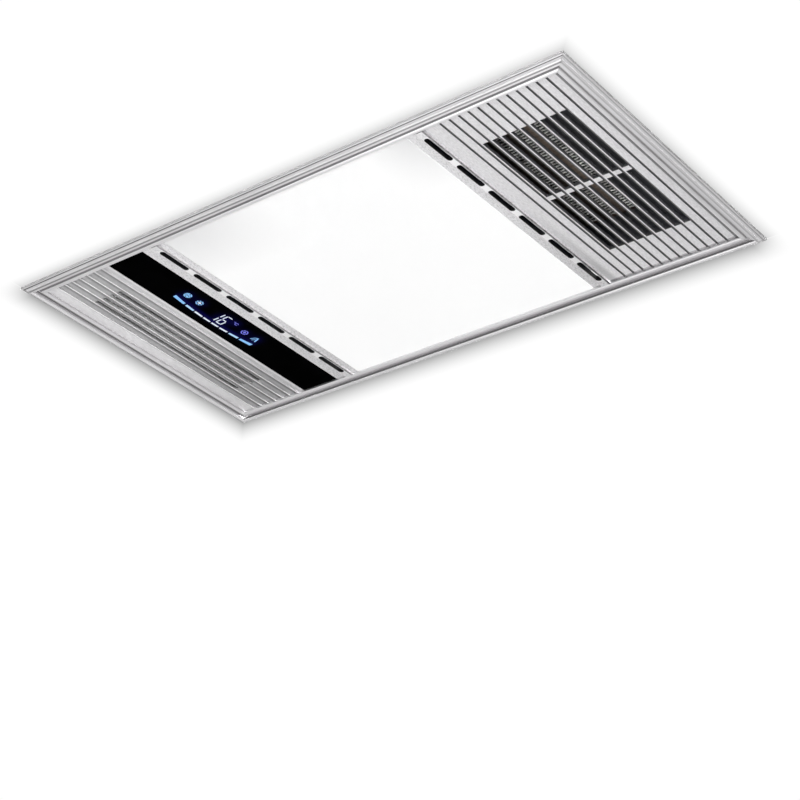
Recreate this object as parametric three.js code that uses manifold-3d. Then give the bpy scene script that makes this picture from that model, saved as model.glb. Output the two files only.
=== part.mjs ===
// Ceiling mounted fan heater for a 600 x 300 mm ceiling module: a face panel that hangs on
// spring clips, and above the ceiling a sheet-metal housing with a heating blower, a ceramic
// heater, an exhaust blower, a duct collar with its damper, and a control box.
// Millimetres. +Z is up, z = 0 is the ceiling's finished surface, X runs along the panel from
// the intake end to the warm-air end, and the origin is the centre of the ceiling opening.
import * as THREE from "three";
import { mergeVertices } from "three/addons/utils/BufferGeometryUtils.js";
import Module from "manifold-3d";

const wasm = await Module();
wasm.setup();

// ---- Driving sizes: rim of the face panel ----
const PANEL_LENGTH = 600;
const PANEL_WIDTH = 300;
const RIM_WIDTH = 16.6; // outer edge to inner edge, seen from below
const LIP_EDGE = 1.4; // thickness of the outermost edge
const BEAD_DEPTH = 2.5; // outer bead, below the ceiling
const CROWN_DEPTH = 4.5; // lowest part of the moulding
const GROOVE_DEPTH = 1.6;
const LEDGE_DEPTH = 3.5;
const RIM_SHEET = 1.4; // wall of the extrusion's back flange and skirt
const FLANGE_REACH = 8.4; // back flange, inward past the rim's inner edge
const SKIRT_INSET = 10.2;
const SKIRT_HEIGHT = 14;
const MITRE_GAP = 0.15;
const KEY_LEG = 30;
const KEY_THICKNESS = 2;

// ---- Driving sizes: pieces of the panel's field ----
const FIELD_DEPTH = 1.2; // their faces, below the ceiling
const FIELD_THICKNESS = 3.2;
const FIT_GAP = 0.2;
const INTAKE_WIDTH = 79;
const DISPLAY_WIDTH = 42;
const LEFT_STRIP_WIDTH = 26.5;
const RIGHT_STRIP_WIDTH = 18.5;
const OUTLET_WIDTH = 128.4; // the light takes what is left of the length

const INTAKE_RIB_START = 13.8; // first rib's centre, from the grille's outer edge
const INTAKE_END_MARGIN = 7.6; // last rib's centre to the grille's inner edge
const INTAKE_RIB_COUNT = 7;
const INTAKE_RIB_WIDTH = 1;
const INTAKE_RIB_HEIGHT = 1;
const INTAKE_CHANNEL_WIDTH = 4.3;
const INTAKE_SLOT_COUNT = 4;
const INTAKE_SLOT_LENGTH = 191.5;

const VENT_RIB_WIDTH = 9.6;
const VENT_RIB_HEIGHT = 2.2;
const LEFT_VENT_OFFSET = 15.7; // rib's centre, from the strip's -X edge
const RIGHT_VENT_OFFSET = 13.3;
const VENT_SLOT_COUNT = 6;
const VENT_SLOT_PITCH = 42.8;
const VENT_SLOT_LENGTH = 34.6;
const VENT_SLOT_WIDTH = 5.5;

const OUTLET_FIRST_BAND = 13.7;
const OUTLET_PITCH = 9.3;
const OUTLET_GROOVE = 2.2;
const OUTLET_BAND_HEIGHT = 1;
const OUTLET_BAND_LIP = 1.2; // strip of each band left beside a window slot
const WINDOW_FIRST_GROOVE = 1;
const WINDOW_SLOT_COUNT = 9;
const WINDOW_LENGTH = 182;
const WINDOW_CROSSBAR = 5.4;

// ---- Driving sizes: behind the field ----
const RAIL_WIDTH = 8;
const RAIL_HEIGHT = 8;
const TRAY_HEIGHT = 12.4;
const TRAY_SHEET = 0.8;
const TRAY_INSET = 4;
const LED_ROWS = 4;
const LED_SIZE = 5;
const BOARD_THICKNESS = 1.6;
const DRIVER_SIZE = [96, 32, 12];
const DISPLAY_COVER_WIDTH = 31;
const DISPLAY_COVER_LENGTH = 150;
const DISPLAY_COVER_HEIGHT = 11;
const CLIP_SPACING = 372; // between the two clips of a side
const CLIP_WIDTH = 16;
const CLIP_HEIGHT = 62;
const CLIP_THICKNESS = 0.8;

// ---- Driving sizes: housing ----
const HOUSING_GAP = 7.4; // skirt's inner face to the housing's wall
const HOUSING_BOTTOM = 16;
const HOUSING_HEIGHT = 110;
const HOUSING_SHEET = 1.2;
const HOUSING_CORNER = 6;
const HEM_WIDTH = 8;
const STIFFENER_HEIGHT = 2.4;
const STIFFENER_COUNT = 4;

// ---- Driving sizes: blowers ----
const WHEEL_SHARE = 0.157; // of the length between the end wall and the hood
const HEATING_AXIS_SHARE = 0.2155; // its distance from the hood, of the same length
const EXHAUST_AXIS_SHARE = 0.3014; // its distance from the end wall, of the same length
const IMPELLER_HEIGHT = 40;
const BLADE_SHARE = 0.215; // radial, of the wheel's radius
const BLADE_COUNT = 24;
const BLADE_THICKNESS = 1;
const SHAFT_RADIUS = 3;
const SHAFT_CLEARANCE = 0.3;
const TONGUE_SHARE = 0.108; // gap from wheel to tongue, of the wheel's radius
const GROWTH_SHARE = 0.523; // of the wheel's radius, over the whole turn
const BLOWER_WALL_GAP = 3.9; // scroll to the housing's far wall
const SCROLL_WALL = 1.6;
const SCROLL_FLOOR = 34; // underside of the scroll, above the ceiling
const IMPELLER_CLEARANCE = 2.4; // above and below the impeller
const INLET_SHARE = 0.708; // of the wheel's radius
const MOTOR_SHARE = 0.477; // of the wheel's radius
const MOTOR_HEIGHT = 31;

// ---- Driving sizes: heater ----
const HEATER_LENGTH = 190; // along Y
const HEATER_FLOOR = 29; // underside of the heater, above the ceiling
const HEATER_HEIGHT = 15;
const HEATER_OVERLAP = 33; // how far it reaches past the window's inner edge
const BAR_WIDTH = 6.5;
const OUTER_FIN_WIDTH = 11;
const INNER_FIN_WIDTH = 13.4;
const FIN_PITCH = 7;
const FIN_SHEET = 0.35;
const HEATER_END_THICKNESS = 8;
const DUCT_SHEET = 1.4;
const HOOD_HEIGHT = 61;

// ---- Driving sizes: exhaust outlet ----
const COLLAR_RADIUS = 49;
const COLLAR_WALL = 2;
const COLLAR_LENGTH = 44;
const COLLAR_HEIGHT = 68; // its axis, above the ceiling
const FLAP_THICKNESS = 1.6;
const FLAP_CLEARANCE = 2.5;
const FLAP_SETBACK = 28; // from the housing's end wall
const FLAP_PIN_RADIUS = 2;
const FLAP_PIN_OFFSET = 16; // above the collar's axis, so that the flap closes by its weight

// ---- Driving sizes: control box and hangers ----
const BOX_LENGTH = 130;
const BOX_WIDTH = 60;
const BOX_HEIGHT = 28;
const BOX_WALL = 2;
const BOX_OFFSET = 5; // its centre, towards the warm air end
const BOX_EDGE_GAP = 7; // to the housing's near wall
const BOARD_INSET = 6;
const BOARD_LIFT = 3;
const BOARD_GAP = 19; // from the terminals
const RELAY_SIZE = [20, 16, 14.5];
const RELAY_INSET = 11; // from the board's edge
const TERMINAL_POLES = 6;
const TERMINAL_PITCH = 7;
const TERMINAL_DEPTH = 18;
const TERMINAL_HEIGHT = 12;
const TERMINAL_INSET = 18; // from the box's gland end
const GLAND_RADIUS = 8;
const HANGER_HEIGHT = 30;
const HANGER_WIDTH = 26;
const HANGER_SHEET = 2.5;
const HANGER_INSET = 34; // from the housing's ends

// ---- Shapes and solids ----
const half = (size) => size / 2;
const CORNERS = [["near_left", -1, -1], ["near_right", 1, -1], ["far_right", 1, 1], ["far_left", -1, 1]];

/** Closed outline through points, given as [a, b] pairs. */
function outline(points) {
  return new THREE.Shape(points.map(([a, b]) => new THREE.Vector2(a, b)));
}

function roundedRect(a0, a1, b0, b1, radius) {
  const s = new THREE.Shape();
  s.moveTo(a0 + radius, b0);
  s.lineTo(a1 - radius, b0);
  s.absarc(a1 - radius, b0 + radius, radius, -Math.PI / 2, 0);
  s.lineTo(a1, b1 - radius);
  s.absarc(a1 - radius, b1 - radius, radius, 0, Math.PI / 2);
  s.lineTo(a0 + radius, b1);
  s.absarc(a0 + radius, b1 - radius, radius, Math.PI / 2, Math.PI);
  s.lineTo(a0, b0 + radius);
  s.absarc(a0 + radius, b0 + radius, radius, Math.PI, 1.5 * Math.PI);
  return s;
}

/** Stadium with its long axis along b. */
function stadium(a, b, width, length) {
  const r = half(width);
  const reach = half(length) - r;
  const s = new THREE.Shape();
  s.absarc(a, b + reach, r, 0, Math.PI);
  s.absarc(a, b - reach, r, Math.PI, 2 * Math.PI);
  return s;
}

function circle(a, b, radius) {
  const s = new THREE.Shape();
  s.absarc(a, b, radius, 0, 2 * Math.PI);
  return s;
}

/** Shape in (x, y), extruded from z0 to z1. */
function extrudeZ(shape, z0, z1, curveSegments = 4) {
  const g = new THREE.ExtrudeGeometry(shape, { depth: z1 - z0, bevelEnabled: false, curveSegments });
  return g.translate(0, 0, z0);
}

/** Shape in (y, z), extruded from x0 to x1. */
function extrudeX(shape, x0, x1, curveSegments = 4) {
  const toX = new THREE.Matrix4().set(0, 0, 1, 0, 1, 0, 0, 0, 0, 1, 0, 0, 0, 0, 0, 1);
  return extrudeZ(shape, x0, x1, curveSegments).applyMatrix4(toX);
}

/** Shape in (x, z), extruded from y0 to y1. */
function extrudeY(shape, y0, y1, curveSegments = 4) {
  const toY = new THREE.Matrix4().set(1, 0, 0, 0, 0, 0, -1, 0, 0, 1, 0, 0, 0, 0, 0, 1);
  return extrudeZ(shape, -y1, -y0, curveSegments).applyMatrix4(toY);
}

/** Closed profile of [radius, z] pairs, counter-clockwise, turned about the z axis. */
function revolve(profile, segments = 28) {
  const points = [...profile, profile[0]].map(([r, z]) => new THREE.Vector2(r, z));
  return new THREE.LatheGeometry(points, segments).rotateX(Math.PI / 2);
}

/** Box whose four walls lean: low and high are [x0, x1, y0, y1] at z0 and at z1. */
function leaningBox(low, high, z0, z1) {
  const g = new THREE.BoxGeometry(1, 1, 1);
  const p = g.getAttribute("position");
  for (let i = 0; i < p.count; i++) {
    const [x0, x1, y0, y1] = p.getZ(i) < 0 ? low : high;
    p.setXYZ(i, p.getX(i) < 0 ? x0 : x1, p.getY(i) < 0 ? y0 : y1, p.getZ(i) < 0 ? z0 : z1);
  }
  return g;
}

const straightBox = (x0, x1, y0, y1, z0, z1) =>
  leaningBox([x0, x1, y0, y1], [x0, x1, y0, y1], z0, z1);

function toSolid(geometry) {
  const bare = geometry.clone();
  bare.deleteAttribute("normal");
  bare.deleteAttribute("uv");
  const merged = mergeVertices(bare, 1e-4);
  return new wasm.Manifold(
    new wasm.Mesh({
      numProp: 3,
      vertProperties: new Float32Array(merged.getAttribute("position").array),
      triVerts: new Uint32Array(merged.index.array),
    }),
  );
}

function toGeometry(solid) {
  const mesh = solid.getMesh();
  const g = new THREE.BufferGeometry();
  g.setAttribute("position", new THREE.BufferAttribute(mesh.vertProperties, 3));
  g.setIndex(new THREE.BufferAttribute(mesh.triVerts, 1));
  const flat = g.toNonIndexed();
  flat.computeVertexNormals();
  return flat;
}

const join = (...geometries) =>
  toGeometry(geometries.map(toSolid).reduce((whole, piece) => whole.add(piece)));

const cut = (geometry, ...tools) =>
  toGeometry(tools.map(toSolid).reduce((whole, tool) => whole.subtract(tool), toSolid(geometry)));

// ---- Finishes ----
const finish = (color, roughness, metalness) =>
  new THREE.MeshStandardMaterial({ color, roughness, metalness });

const satinAluminium = finish(0xcfccca, 0.38, 0.85);
const mouldedSilver = finish(0xd4d3d3, 0.45, 0.5);
const blackGlass = finish(0x050507, 0.08, 0);
const opal = finish(0xffffff, 0.6, 0);
const galvanised = finish(0xa9adb0, 0.42, 0.9);
const whitePaint = finish(0xe9e9e7, 0.5, 0.1);
const blackPlastic = finish(0x1b1c1e, 0.5, 0);
const whitePlastic = finish(0xe6e6e2, 0.45, 0);
const circuitGreen = finish(0x1d5a3a, 0.5, 0);
const circuitWhite = finish(0xf2f2ee, 0.45, 0);
const springSteel = finish(0x8c8f92, 0.3, 1);
const heaterSilver = finish(0xb9b7b2, 0.35, 0.95);
const heaterBrown = finish(0x6e5b4c, 0.5, 0.3);
const brass = finish(0xc9a24a, 0.35, 1);

const heater = new THREE.Group();

function piece(name, geometry, material, parent = heater) {
  const mesh = new THREE.Mesh(geometry, material);
  mesh.name = name;
  parent.add(mesh);
  return mesh;
}

// ---- Face panel: rim ----
const seatZ = FIELD_THICKNESS - FIELD_DEPTH; // underside of the back flange, top of the field
const flangeTop = seatZ + RIM_SHEET;
const flangeEdge = RIM_WIDTH + FLANGE_REACH;
const skirtInner = SKIRT_INSET + RIM_SHEET;

/** Section of the moulding: a is the distance in from the outer edge, b is z. */
function rimSection() {
  const s = new THREE.Shape();
  s.moveTo(0, 0);
  s.lineTo(0, -LIP_EDGE);
  s.quadraticCurveTo(0.1, -BEAD_DEPTH, 1.3, -BEAD_DEPTH);
  s.lineTo(2, -BEAD_DEPTH);
  s.quadraticCurveTo(3.7, -BEAD_DEPTH, 3.9, -CROWN_DEPTH + 0.4);
  s.quadraticCurveTo(5.5, -CROWN_DEPTH - 0.4, 7.2, -CROWN_DEPTH + 0.2);
  s.lineTo(7.5, -CROWN_DEPTH + 0.9);
  s.lineTo(9.1, -CROWN_DEPTH + 0.8);
  s.lineTo(9.5, -GROOVE_DEPTH);
  s.lineTo(12.2, -GROOVE_DEPTH);
  s.lineTo(12.4, -LEDGE_DEPTH + 0.3);
  s.quadraticCurveTo(half(12.4 + RIM_WIDTH), -LEDGE_DEPTH - 0.3, RIM_WIDTH - 0.4, -LEDGE_DEPTH + 0.2);
  s.lineTo(RIM_WIDTH, -LEDGE_DEPTH + 0.7);
  s.lineTo(RIM_WIDTH, seatZ);
  s.lineTo(flangeEdge, seatZ);
  s.lineTo(flangeEdge, flangeTop);
  s.lineTo(skirtInner, flangeTop);
  s.lineTo(skirtInner, SKIRT_HEIGHT);
  s.lineTo(SKIRT_INSET, SKIRT_HEIGHT);
  s.lineTo(SKIRT_INSET, 0);
  return s;
}

/** One side of the rim, lying along X at y = -offset, its ends cut to the mitre. */
function rimSide(length, offset) {
  const g = new THREE.ExtrudeGeometry(rimSection(), { depth: length, bevelEnabled: false, curveSegments: 4 });
  const p = g.getAttribute("position");
  for (let i = 0; i < p.count; i++) {
    const inward = p.getX(i) + MITRE_GAP;
    const along = p.getZ(i) < half(length) ? inward : length - inward;
    p.setXYZ(i, along - half(length), p.getX(i) - offset, p.getY(i));
  }
  return g;
}

function addRim() {
  ["near", "right", "far", "left"].forEach((side, turn) => {
    const along = turn % 2 ? PANEL_WIDTH : PANEL_LENGTH;
    const across = turn % 2 ? PANEL_LENGTH : PANEL_WIDTH;
    const mesh = piece("rim_" + side, rimSide(along, half(across)), satinAluminium);
    mesh.rotation.z = turn * half(Math.PI);
  });
}

/** L-shaped angle that joins two skirts inside a corner. */
function addCornerKeys() {
  const corner = skirtInner + 0.1;
  const end = corner + KEY_LEG;
  const inner = corner + KEY_THICKNESS;
  const angle = [
    [corner, corner], [end, corner], [end, inner], [inner + 3, inner],
    [inner, inner + 3], [inner, end], [corner, end],
  ];
  for (const [name, x, y] of CORNERS) {
    const plan = outline(
      angle.map(([a, b]) => [x * (half(PANEL_LENGTH) - a), y * (half(PANEL_WIDTH) - b)]),
    );
    piece("corner_key_" + name, extrudeZ(plan, flangeTop, SKIRT_HEIGHT - 2), galvanised);
  }
}

// ---- Face panel: field ----
const fieldEnd = half(PANEL_WIDTH) - RIM_WIDTH - FIT_GAP; // in Y, both ways
const fieldStart = -half(PANEL_LENGTH) + RIM_WIDTH + FIT_GAP;
const intakeEnd = fieldStart + INTAKE_WIDTH;
const displayStart = intakeEnd + FIT_GAP;
const displayEnd = displayStart + DISPLAY_WIDTH;
const leftStripStart = displayEnd + FIT_GAP;
const leftStripEnd = leftStripStart + LEFT_STRIP_WIDTH;
const lightStart = leftStripEnd + FIT_GAP;
const outletEnd = half(PANEL_LENGTH) - RIM_WIDTH - FIT_GAP;
const outletStart = outletEnd - OUTLET_WIDTH;
const rightStripEnd = outletStart - FIT_GAP;
const rightStripStart = rightStripEnd - RIGHT_STRIP_WIDTH;
const lightEnd = rightStripStart - FIT_GAP;
const grooveAt = (k) => outletStart + OUTLET_FIRST_BAND + k * OUTLET_PITCH;
const windowStart = grooveAt(WINDOW_FIRST_GROOVE) + OUTLET_GROOVE;
const windowEnd = grooveAt(WINDOW_FIRST_GROOVE + WINDOW_SLOT_COUNT);
const faceZ = -FIELD_DEPTH;

/** Slotted plate with a crowned border, thin ribs, and a channel beside each rib. */
function addIntakeGrille() {
  const pitch = (INTAKE_WIDTH - INTAKE_RIB_START - INTAKE_END_MARGIN) / (INTAKE_RIB_COUNT - 1);
  const ribAt = (k) => fieldStart + INTAKE_RIB_START + k * pitch;
  const channelZ = faceZ + 0.5;
  const s = new THREE.Shape();
  s.moveTo(intakeEnd, seatZ);
  s.lineTo(fieldStart, seatZ);
  s.lineTo(fieldStart, faceZ);
  const borderEnd = ribAt(0) - INTAKE_RIB_WIDTH;
  s.quadraticCurveTo(half(fieldStart + borderEnd), faceZ - 0.9, borderEnd, faceZ);
  for (let k = 0; k < INTAKE_RIB_COUNT; k++) {
    const left = ribAt(k) - half(INTAKE_RIB_WIDTH);
    const right = left + INTAKE_RIB_WIDTH;
    s.lineTo(left, faceZ);
    s.lineTo(left + 0.15, faceZ - INTAKE_RIB_HEIGHT);
    s.lineTo(right - 0.15, faceZ - INTAKE_RIB_HEIGHT);
    s.lineTo(right, channelZ);
    s.lineTo(right + INTAKE_CHANNEL_WIDTH, channelZ);
    s.lineTo(right + INTAKE_CHANNEL_WIDTH + 0.2, faceZ);
  }
  s.lineTo(intakeEnd, faceZ);
  const slots = [];
  for (let k = 1; k <= INTAKE_SLOT_COUNT; k++) {
    const centre = ribAt(k) + half(INTAKE_RIB_WIDTH + INTAKE_CHANNEL_WIDTH);
    const slot = stadium(centre, 0, INTAKE_CHANNEL_WIDTH - 0.2, INTAKE_SLOT_LENGTH);
    slots.push(extrudeZ(slot, faceZ - 5, seatZ + 5));
  }
  piece("intake_grille", cut(extrudeY(s, -fieldEnd, fieldEnd), ...slots), mouldedSilver);
}

/** Strip with a flat rib that holds a row of air slots. */
function addVentStrip(name, x0, x1, ribOffset) {
  const ribStart = x0 + ribOffset - half(VENT_RIB_WIDTH);
  const ribEnd = ribStart + VENT_RIB_WIDTH;
  const ribZ = faceZ - VENT_RIB_HEIGHT;
  const section = outline([
    [x0, seatZ], [x0, faceZ], [ribStart, faceZ], [ribStart + 0.3, ribZ + 0.3], [ribStart + 0.8, ribZ],
    [ribEnd - 0.8, ribZ], [ribEnd - 0.3, ribZ + 0.3], [ribEnd, faceZ], [x1, faceZ], [x1, seatZ],
  ]);
  const slots = [];
  for (let k = 0; k < VENT_SLOT_COUNT; k++) {
    const y = (k - half(VENT_SLOT_COUNT - 1)) * VENT_SLOT_PITCH;
    slots.push(extrudeZ(stadium(x0 + ribOffset, y, VENT_SLOT_WIDTH, VENT_SLOT_LENGTH), ribZ - 2, seatZ + 2));
  }
  piece(name, cut(extrudeY(section, -fieldEnd, fieldEnd), ...slots), mouldedSilver);
}

/** Plate with raised bands between grooves; in the window the bands are open but for a lip. */
function addOutletGrille() {
  const bandZ = faceZ;
  const floorZ = faceZ + OUTLET_BAND_HEIGHT;
  const grooveCount = Math.floor((outletEnd - 1 - OUTLET_GROOVE - grooveAt(0)) / OUTLET_PITCH) + 1;
  const s = new THREE.Shape();
  s.moveTo(outletEnd, seatZ);
  s.lineTo(outletStart, seatZ);
  s.lineTo(outletStart, bandZ);
  for (let k = 0; k < grooveCount; k++) {
    s.lineTo(grooveAt(k), bandZ);
    s.lineTo(grooveAt(k), floorZ);
    s.lineTo(grooveAt(k) + OUTLET_GROOVE, floorZ);
    s.lineTo(grooveAt(k) + OUTLET_GROOVE, bandZ);
  }
  s.lineTo(outletEnd, bandZ);
  const slots = [];
  for (let k = 0; k < WINDOW_SLOT_COUNT; k++) {
    const groove = WINDOW_FIRST_GROOVE + k;
    const x0 = grooveAt(groove) + OUTLET_GROOVE + OUTLET_BAND_LIP;
    const x1 = grooveAt(groove + 1);
    for (const side of [-1, 1]) {
      const y0 = side * half(WINDOW_CROSSBAR);
      const y1 = side * half(WINDOW_LENGTH);
      slots.push(straightBox(x0, x1, Math.min(y0, y1), Math.max(y0, y1), bandZ - 2, seatZ + 2));
    }
  }
  piece("outlet_grille", cut(extrudeY(s, -fieldEnd, fieldEnd), ...slots), mouldedSilver);
}

/** Flat pane with softened edges towards the room. */
function pane(x0, x1, z0, z1, edge) {
  const chamfered = outline([
    [x0, z1], [x0, z0 + edge], [x0 + edge, z0], [x1 - edge, z0], [x1, z0 + edge], [x1, z1],
  ]);
  return extrudeY(chamfered, -fieldEnd, fieldEnd);
}

function addDisplay() {
  piece("display_window", pane(displayStart, displayEnd, faceZ, seatZ, 0.3), blackGlass);
  const centre = half(displayStart + displayEnd - RAIL_WIDTH);
  const x = half(DISPLAY_COVER_WIDTH);
  const y = half(DISPLAY_COVER_LENGTH);
  const wall = 1.6;
  const top = seatZ + DISPLAY_COVER_HEIGHT;
  const plan = (by) => roundedRect(centre - x + by, centre + x - by, -y + by, y - by, 3 - half(by));
  const shell = extrudeZ(plan(0), seatZ, top, 2);
  const hollow = extrudeZ(plan(wall), seatZ - 1, top - wall, 2);
  piece("display_cover", cut(shell, hollow), blackPlastic);
  const boardX = x - wall - 0.3;
  const boardY = y - wall - 0.3;
  const boardZ = seatZ + 4;
  const boardPlan = roundedRect(centre - boardX, centre + boardX, -boardY, boardY, 3);
  const board = extrudeZ(boardPlan, boardZ, boardZ + BOARD_THICKNESS, 2);
  const digits = straightBox(centre - boardX + 2, centre + boardX - 2, -30, 30, seatZ + 0.2, boardZ + 0.1);
  piece("display_board", join(board, digits), circuitGreen);
}

/** Diffuser, tray with its light board, and the driver on the tray's back. */
function addLight() {
  piece("light_diffuser", pane(lightStart, lightEnd, faceZ - 0.4, seatZ, 0.5), opal);
  const reachY = half(PANEL_WIDTH) - flangeEdge - 0.3;
  const x0 = lightStart + TRAY_INSET;
  const x1 = lightEnd - TRAY_INSET;
  const lean = 3;
  const rim = 5;
  const topZ = seatZ + TRAY_HEIGHT;
  const inset = (by) => [x0 + by, x1 - by, -reachY + by, reachY - by];
  const flange = straightBox(...inset(0), seatZ, seatZ + TRAY_SHEET);
  const shell = leaningBox(inset(rim), inset(rim + lean), seatZ, topZ);
  const hollow = leaningBox(
    inset(rim + TRAY_SHEET - lean / TRAY_HEIGHT),
    inset(rim + TRAY_SHEET + lean),
    seatZ - 1,
    topZ - TRAY_SHEET,
  );
  piece("light_tray", cut(join(flange, shell), hollow), whitePaint);
  const boardTop = topZ - TRAY_SHEET;
  const boardZ = boardTop - BOARD_THICKNESS;
  const [bx0, bx1, by0, by1] = inset(rim + lean + 8);
  const board = straightBox(bx0, bx1, by0, by1, boardZ, boardTop);
  const chips = [];
  for (let i = 0; i < LED_ROWS; i++) {
    for (let j = 0; j < LED_ROWS; j++) {
      const x = bx0 + ((i + 0.5) / LED_ROWS) * (bx1 - bx0);
      const y = by0 + ((j + 0.5) / LED_ROWS) * (by1 - by0);
      const square = (r) => [x - r, x + r, y - r, y + r];
      const r = half(LED_SIZE);
      chips.push(leaningBox(square(r - 1), square(r), boardZ - 1.2, boardZ + 0.2));
    }
  }
  piece("led_board", join(board, ...chips), circuitWhite);
  const [length, width, height] = DRIVER_SIZE;
  const driverX = half(lightStart + lightEnd);
  const driver = extrudeX(
    roundedRect(-half(width), half(width), topZ, topZ + height, 3),
    driverX - half(length),
    driverX + half(length),
  );
  piece("led_driver", driver, whitePlastic);
}

/** Tee bars across the back of the field, over its two heaviest joints. */
function addCrossRails() {
  const reach = half(PANEL_WIDTH) - skirtInner - 0.2;
  const foot = 1.6;
  for (const [name, x0] of [["left", displayEnd - RAIL_WIDTH], ["right", outletStart]]) {
    const x1 = x0 + RAIL_WIDTH;
    const mid = half(x0 + x1);
    const section = outline([
      [x0, flangeTop], [x1, flangeTop], [x1, flangeTop + foot], [mid + 0.8, flangeTop + foot],
      [mid + 0.8, flangeTop + RAIL_HEIGHT], [mid - 0.8, flangeTop + RAIL_HEIGHT],
      [mid - 0.8, flangeTop + foot], [x0, flangeTop + foot],
    ]);
    piece("cross_rail_" + name, extrudeY(section, -reach, reach), satinAluminium);
  }
}

/** Leaf springs on the skirts that grip the housing's long walls. */
function addSpringClips() {
  const t = CLIP_THICKNESS;
  const touch = HOUSING_GAP - 0.3;
  const base = flangeTop + 0.1;
  const s = new THREE.Shape();
  s.moveTo(0, base);
  s.lineTo(t, base);
  s.lineTo(t, SKIRT_HEIGHT);
  s.quadraticCurveTo(t + 0.4, CLIP_HEIGHT * 0.6, touch, CLIP_HEIGHT - 10);
  s.quadraticCurveTo(touch, CLIP_HEIGHT - 5, t + 1.5, CLIP_HEIGHT);
  s.lineTo(1.5, CLIP_HEIGHT);
  s.quadraticCurveTo(touch - t, CLIP_HEIGHT - 5, touch - t, CLIP_HEIGHT - 10);
  s.quadraticCurveTo(t - 0.4, CLIP_HEIGHT * 0.6, 0, SKIRT_HEIGHT);
  const wallY = half(PANEL_WIDTH) - skirtInner;
  for (const [side, turn] of [["near", 0], ["far", Math.PI]]) {
    for (const [end, x] of [["left", -1], ["right", 1]]) {
      const centre = (turn ? -x : x) * half(CLIP_SPACING);
      const g = extrudeX(s, centre - half(CLIP_WIDTH), centre + half(CLIP_WIDTH)).translate(0, -wallY, 0);
      piece("spring_clip_" + side + "_" + end, g.rotateZ(turn), springSteel);
    }
  }
}

// ---- Housing ----
const housingX = half(PANEL_LENGTH) - skirtInner - HOUSING_GAP - 5;
const housingY = half(PANEL_WIDTH) - skirtInner - HOUSING_GAP;
const housingTop = HOUSING_BOTTOM + HOUSING_HEIGHT;
const innerX = housingX - HOUSING_SHEET;
const innerY = housingY - HOUSING_SHEET;
const innerTop = housingTop - HOUSING_SHEET;

// ---- Heater and hood: where they lie ----
const heaterWidth = 2 * OUTER_FIN_WIDTH + 2 * INNER_FIN_WIDTH + 3 * BAR_WIDTH;
const heaterEdge = windowStart + HEATER_OVERLAP;
const heaterStart = heaterEdge - heaterWidth;
const heaterTop = HEATER_FLOOR + HEATER_HEIGHT;
const coreEnd = half(HEATER_LENGTH) - HEATER_END_THICKNESS;
const hoodX0 = heaterStart - 5.5;
const hoodX1 = heaterEdge + 1.5;
const hoodY = half(HEATER_LENGTH) + 3;
const hoodTop = HEATER_FLOOR + HOOD_HEIGHT;

// ---- Scroll casings, blowers ----
const blowerSpan = innerX + hoodX0;
const wheelRadius = blowerSpan * WHEEL_SHARE;
const bladeDepth = wheelRadius * BLADE_SHARE;
const inletRadius = wheelRadius * INLET_SHARE;
const motorRadius = wheelRadius * MOTOR_SHARE;
const scrollStart = wheelRadius * (1 + TONGUE_SHARE);
const scrollGrowth = wheelRadius * GROWTH_SHARE;
const scrollEnd = scrollStart + scrollGrowth;
const tongueAngle = (-40 * Math.PI) / 180;
const impellerBottom = SCROLL_FLOOR + IMPELLER_CLEARANCE + SCROLL_WALL;
const impellerTop = impellerBottom + IMPELLER_HEIGHT;
const scrollTop = impellerTop + IMPELLER_CLEARANCE + SCROLL_WALL;
const throatLow = -scrollEnd; // the outlet's two walls, from the fan's axis in Y
const throatHigh = scrollStart * Math.sin(tongueAngle);

/** Plan of the scroll: a spiral that widens evenly from the tongue, then a straight throat. */
function scrollPlan([cx, cy], facing, reach, wall) {
  const start = Math.asin((throatHigh + wall) / (scrollStart + wall));
  const sweep = 1.5 * Math.PI - start;
  const steps = 28;
  const points = [];
  for (let i = 0; i <= steps; i++) {
    const angle = start + (sweep * i) / steps;
    const r = scrollStart + wall + (scrollGrowth * i) / steps;
    points.push([cx + facing * r * Math.cos(angle), cy + r * Math.sin(angle)]);
  }
  points.push([reach, cy + throatLow - wall], [reach, cy + throatHigh + wall]);
  return outline(points);
}

/** Radius of the scroll's inner wall at an angle in degrees, counted from its throat's side. */
const scrollRadius = (degrees) =>
  scrollStart + (scrollGrowth * (degrees * (Math.PI / 180) - tongueAngle)) / (1.5 * Math.PI - tongueAngle);
const fanY = innerY - BLOWER_WALL_GAP - SCROLL_WALL - scrollRadius(90);
const heatingFan = [hoodX0 - blowerSpan * HEATING_AXIS_SHARE, fanY];
const exhaustFan = [-innerX + blowerSpan * EXHAUST_AXIS_SHARE, fanY];

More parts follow.
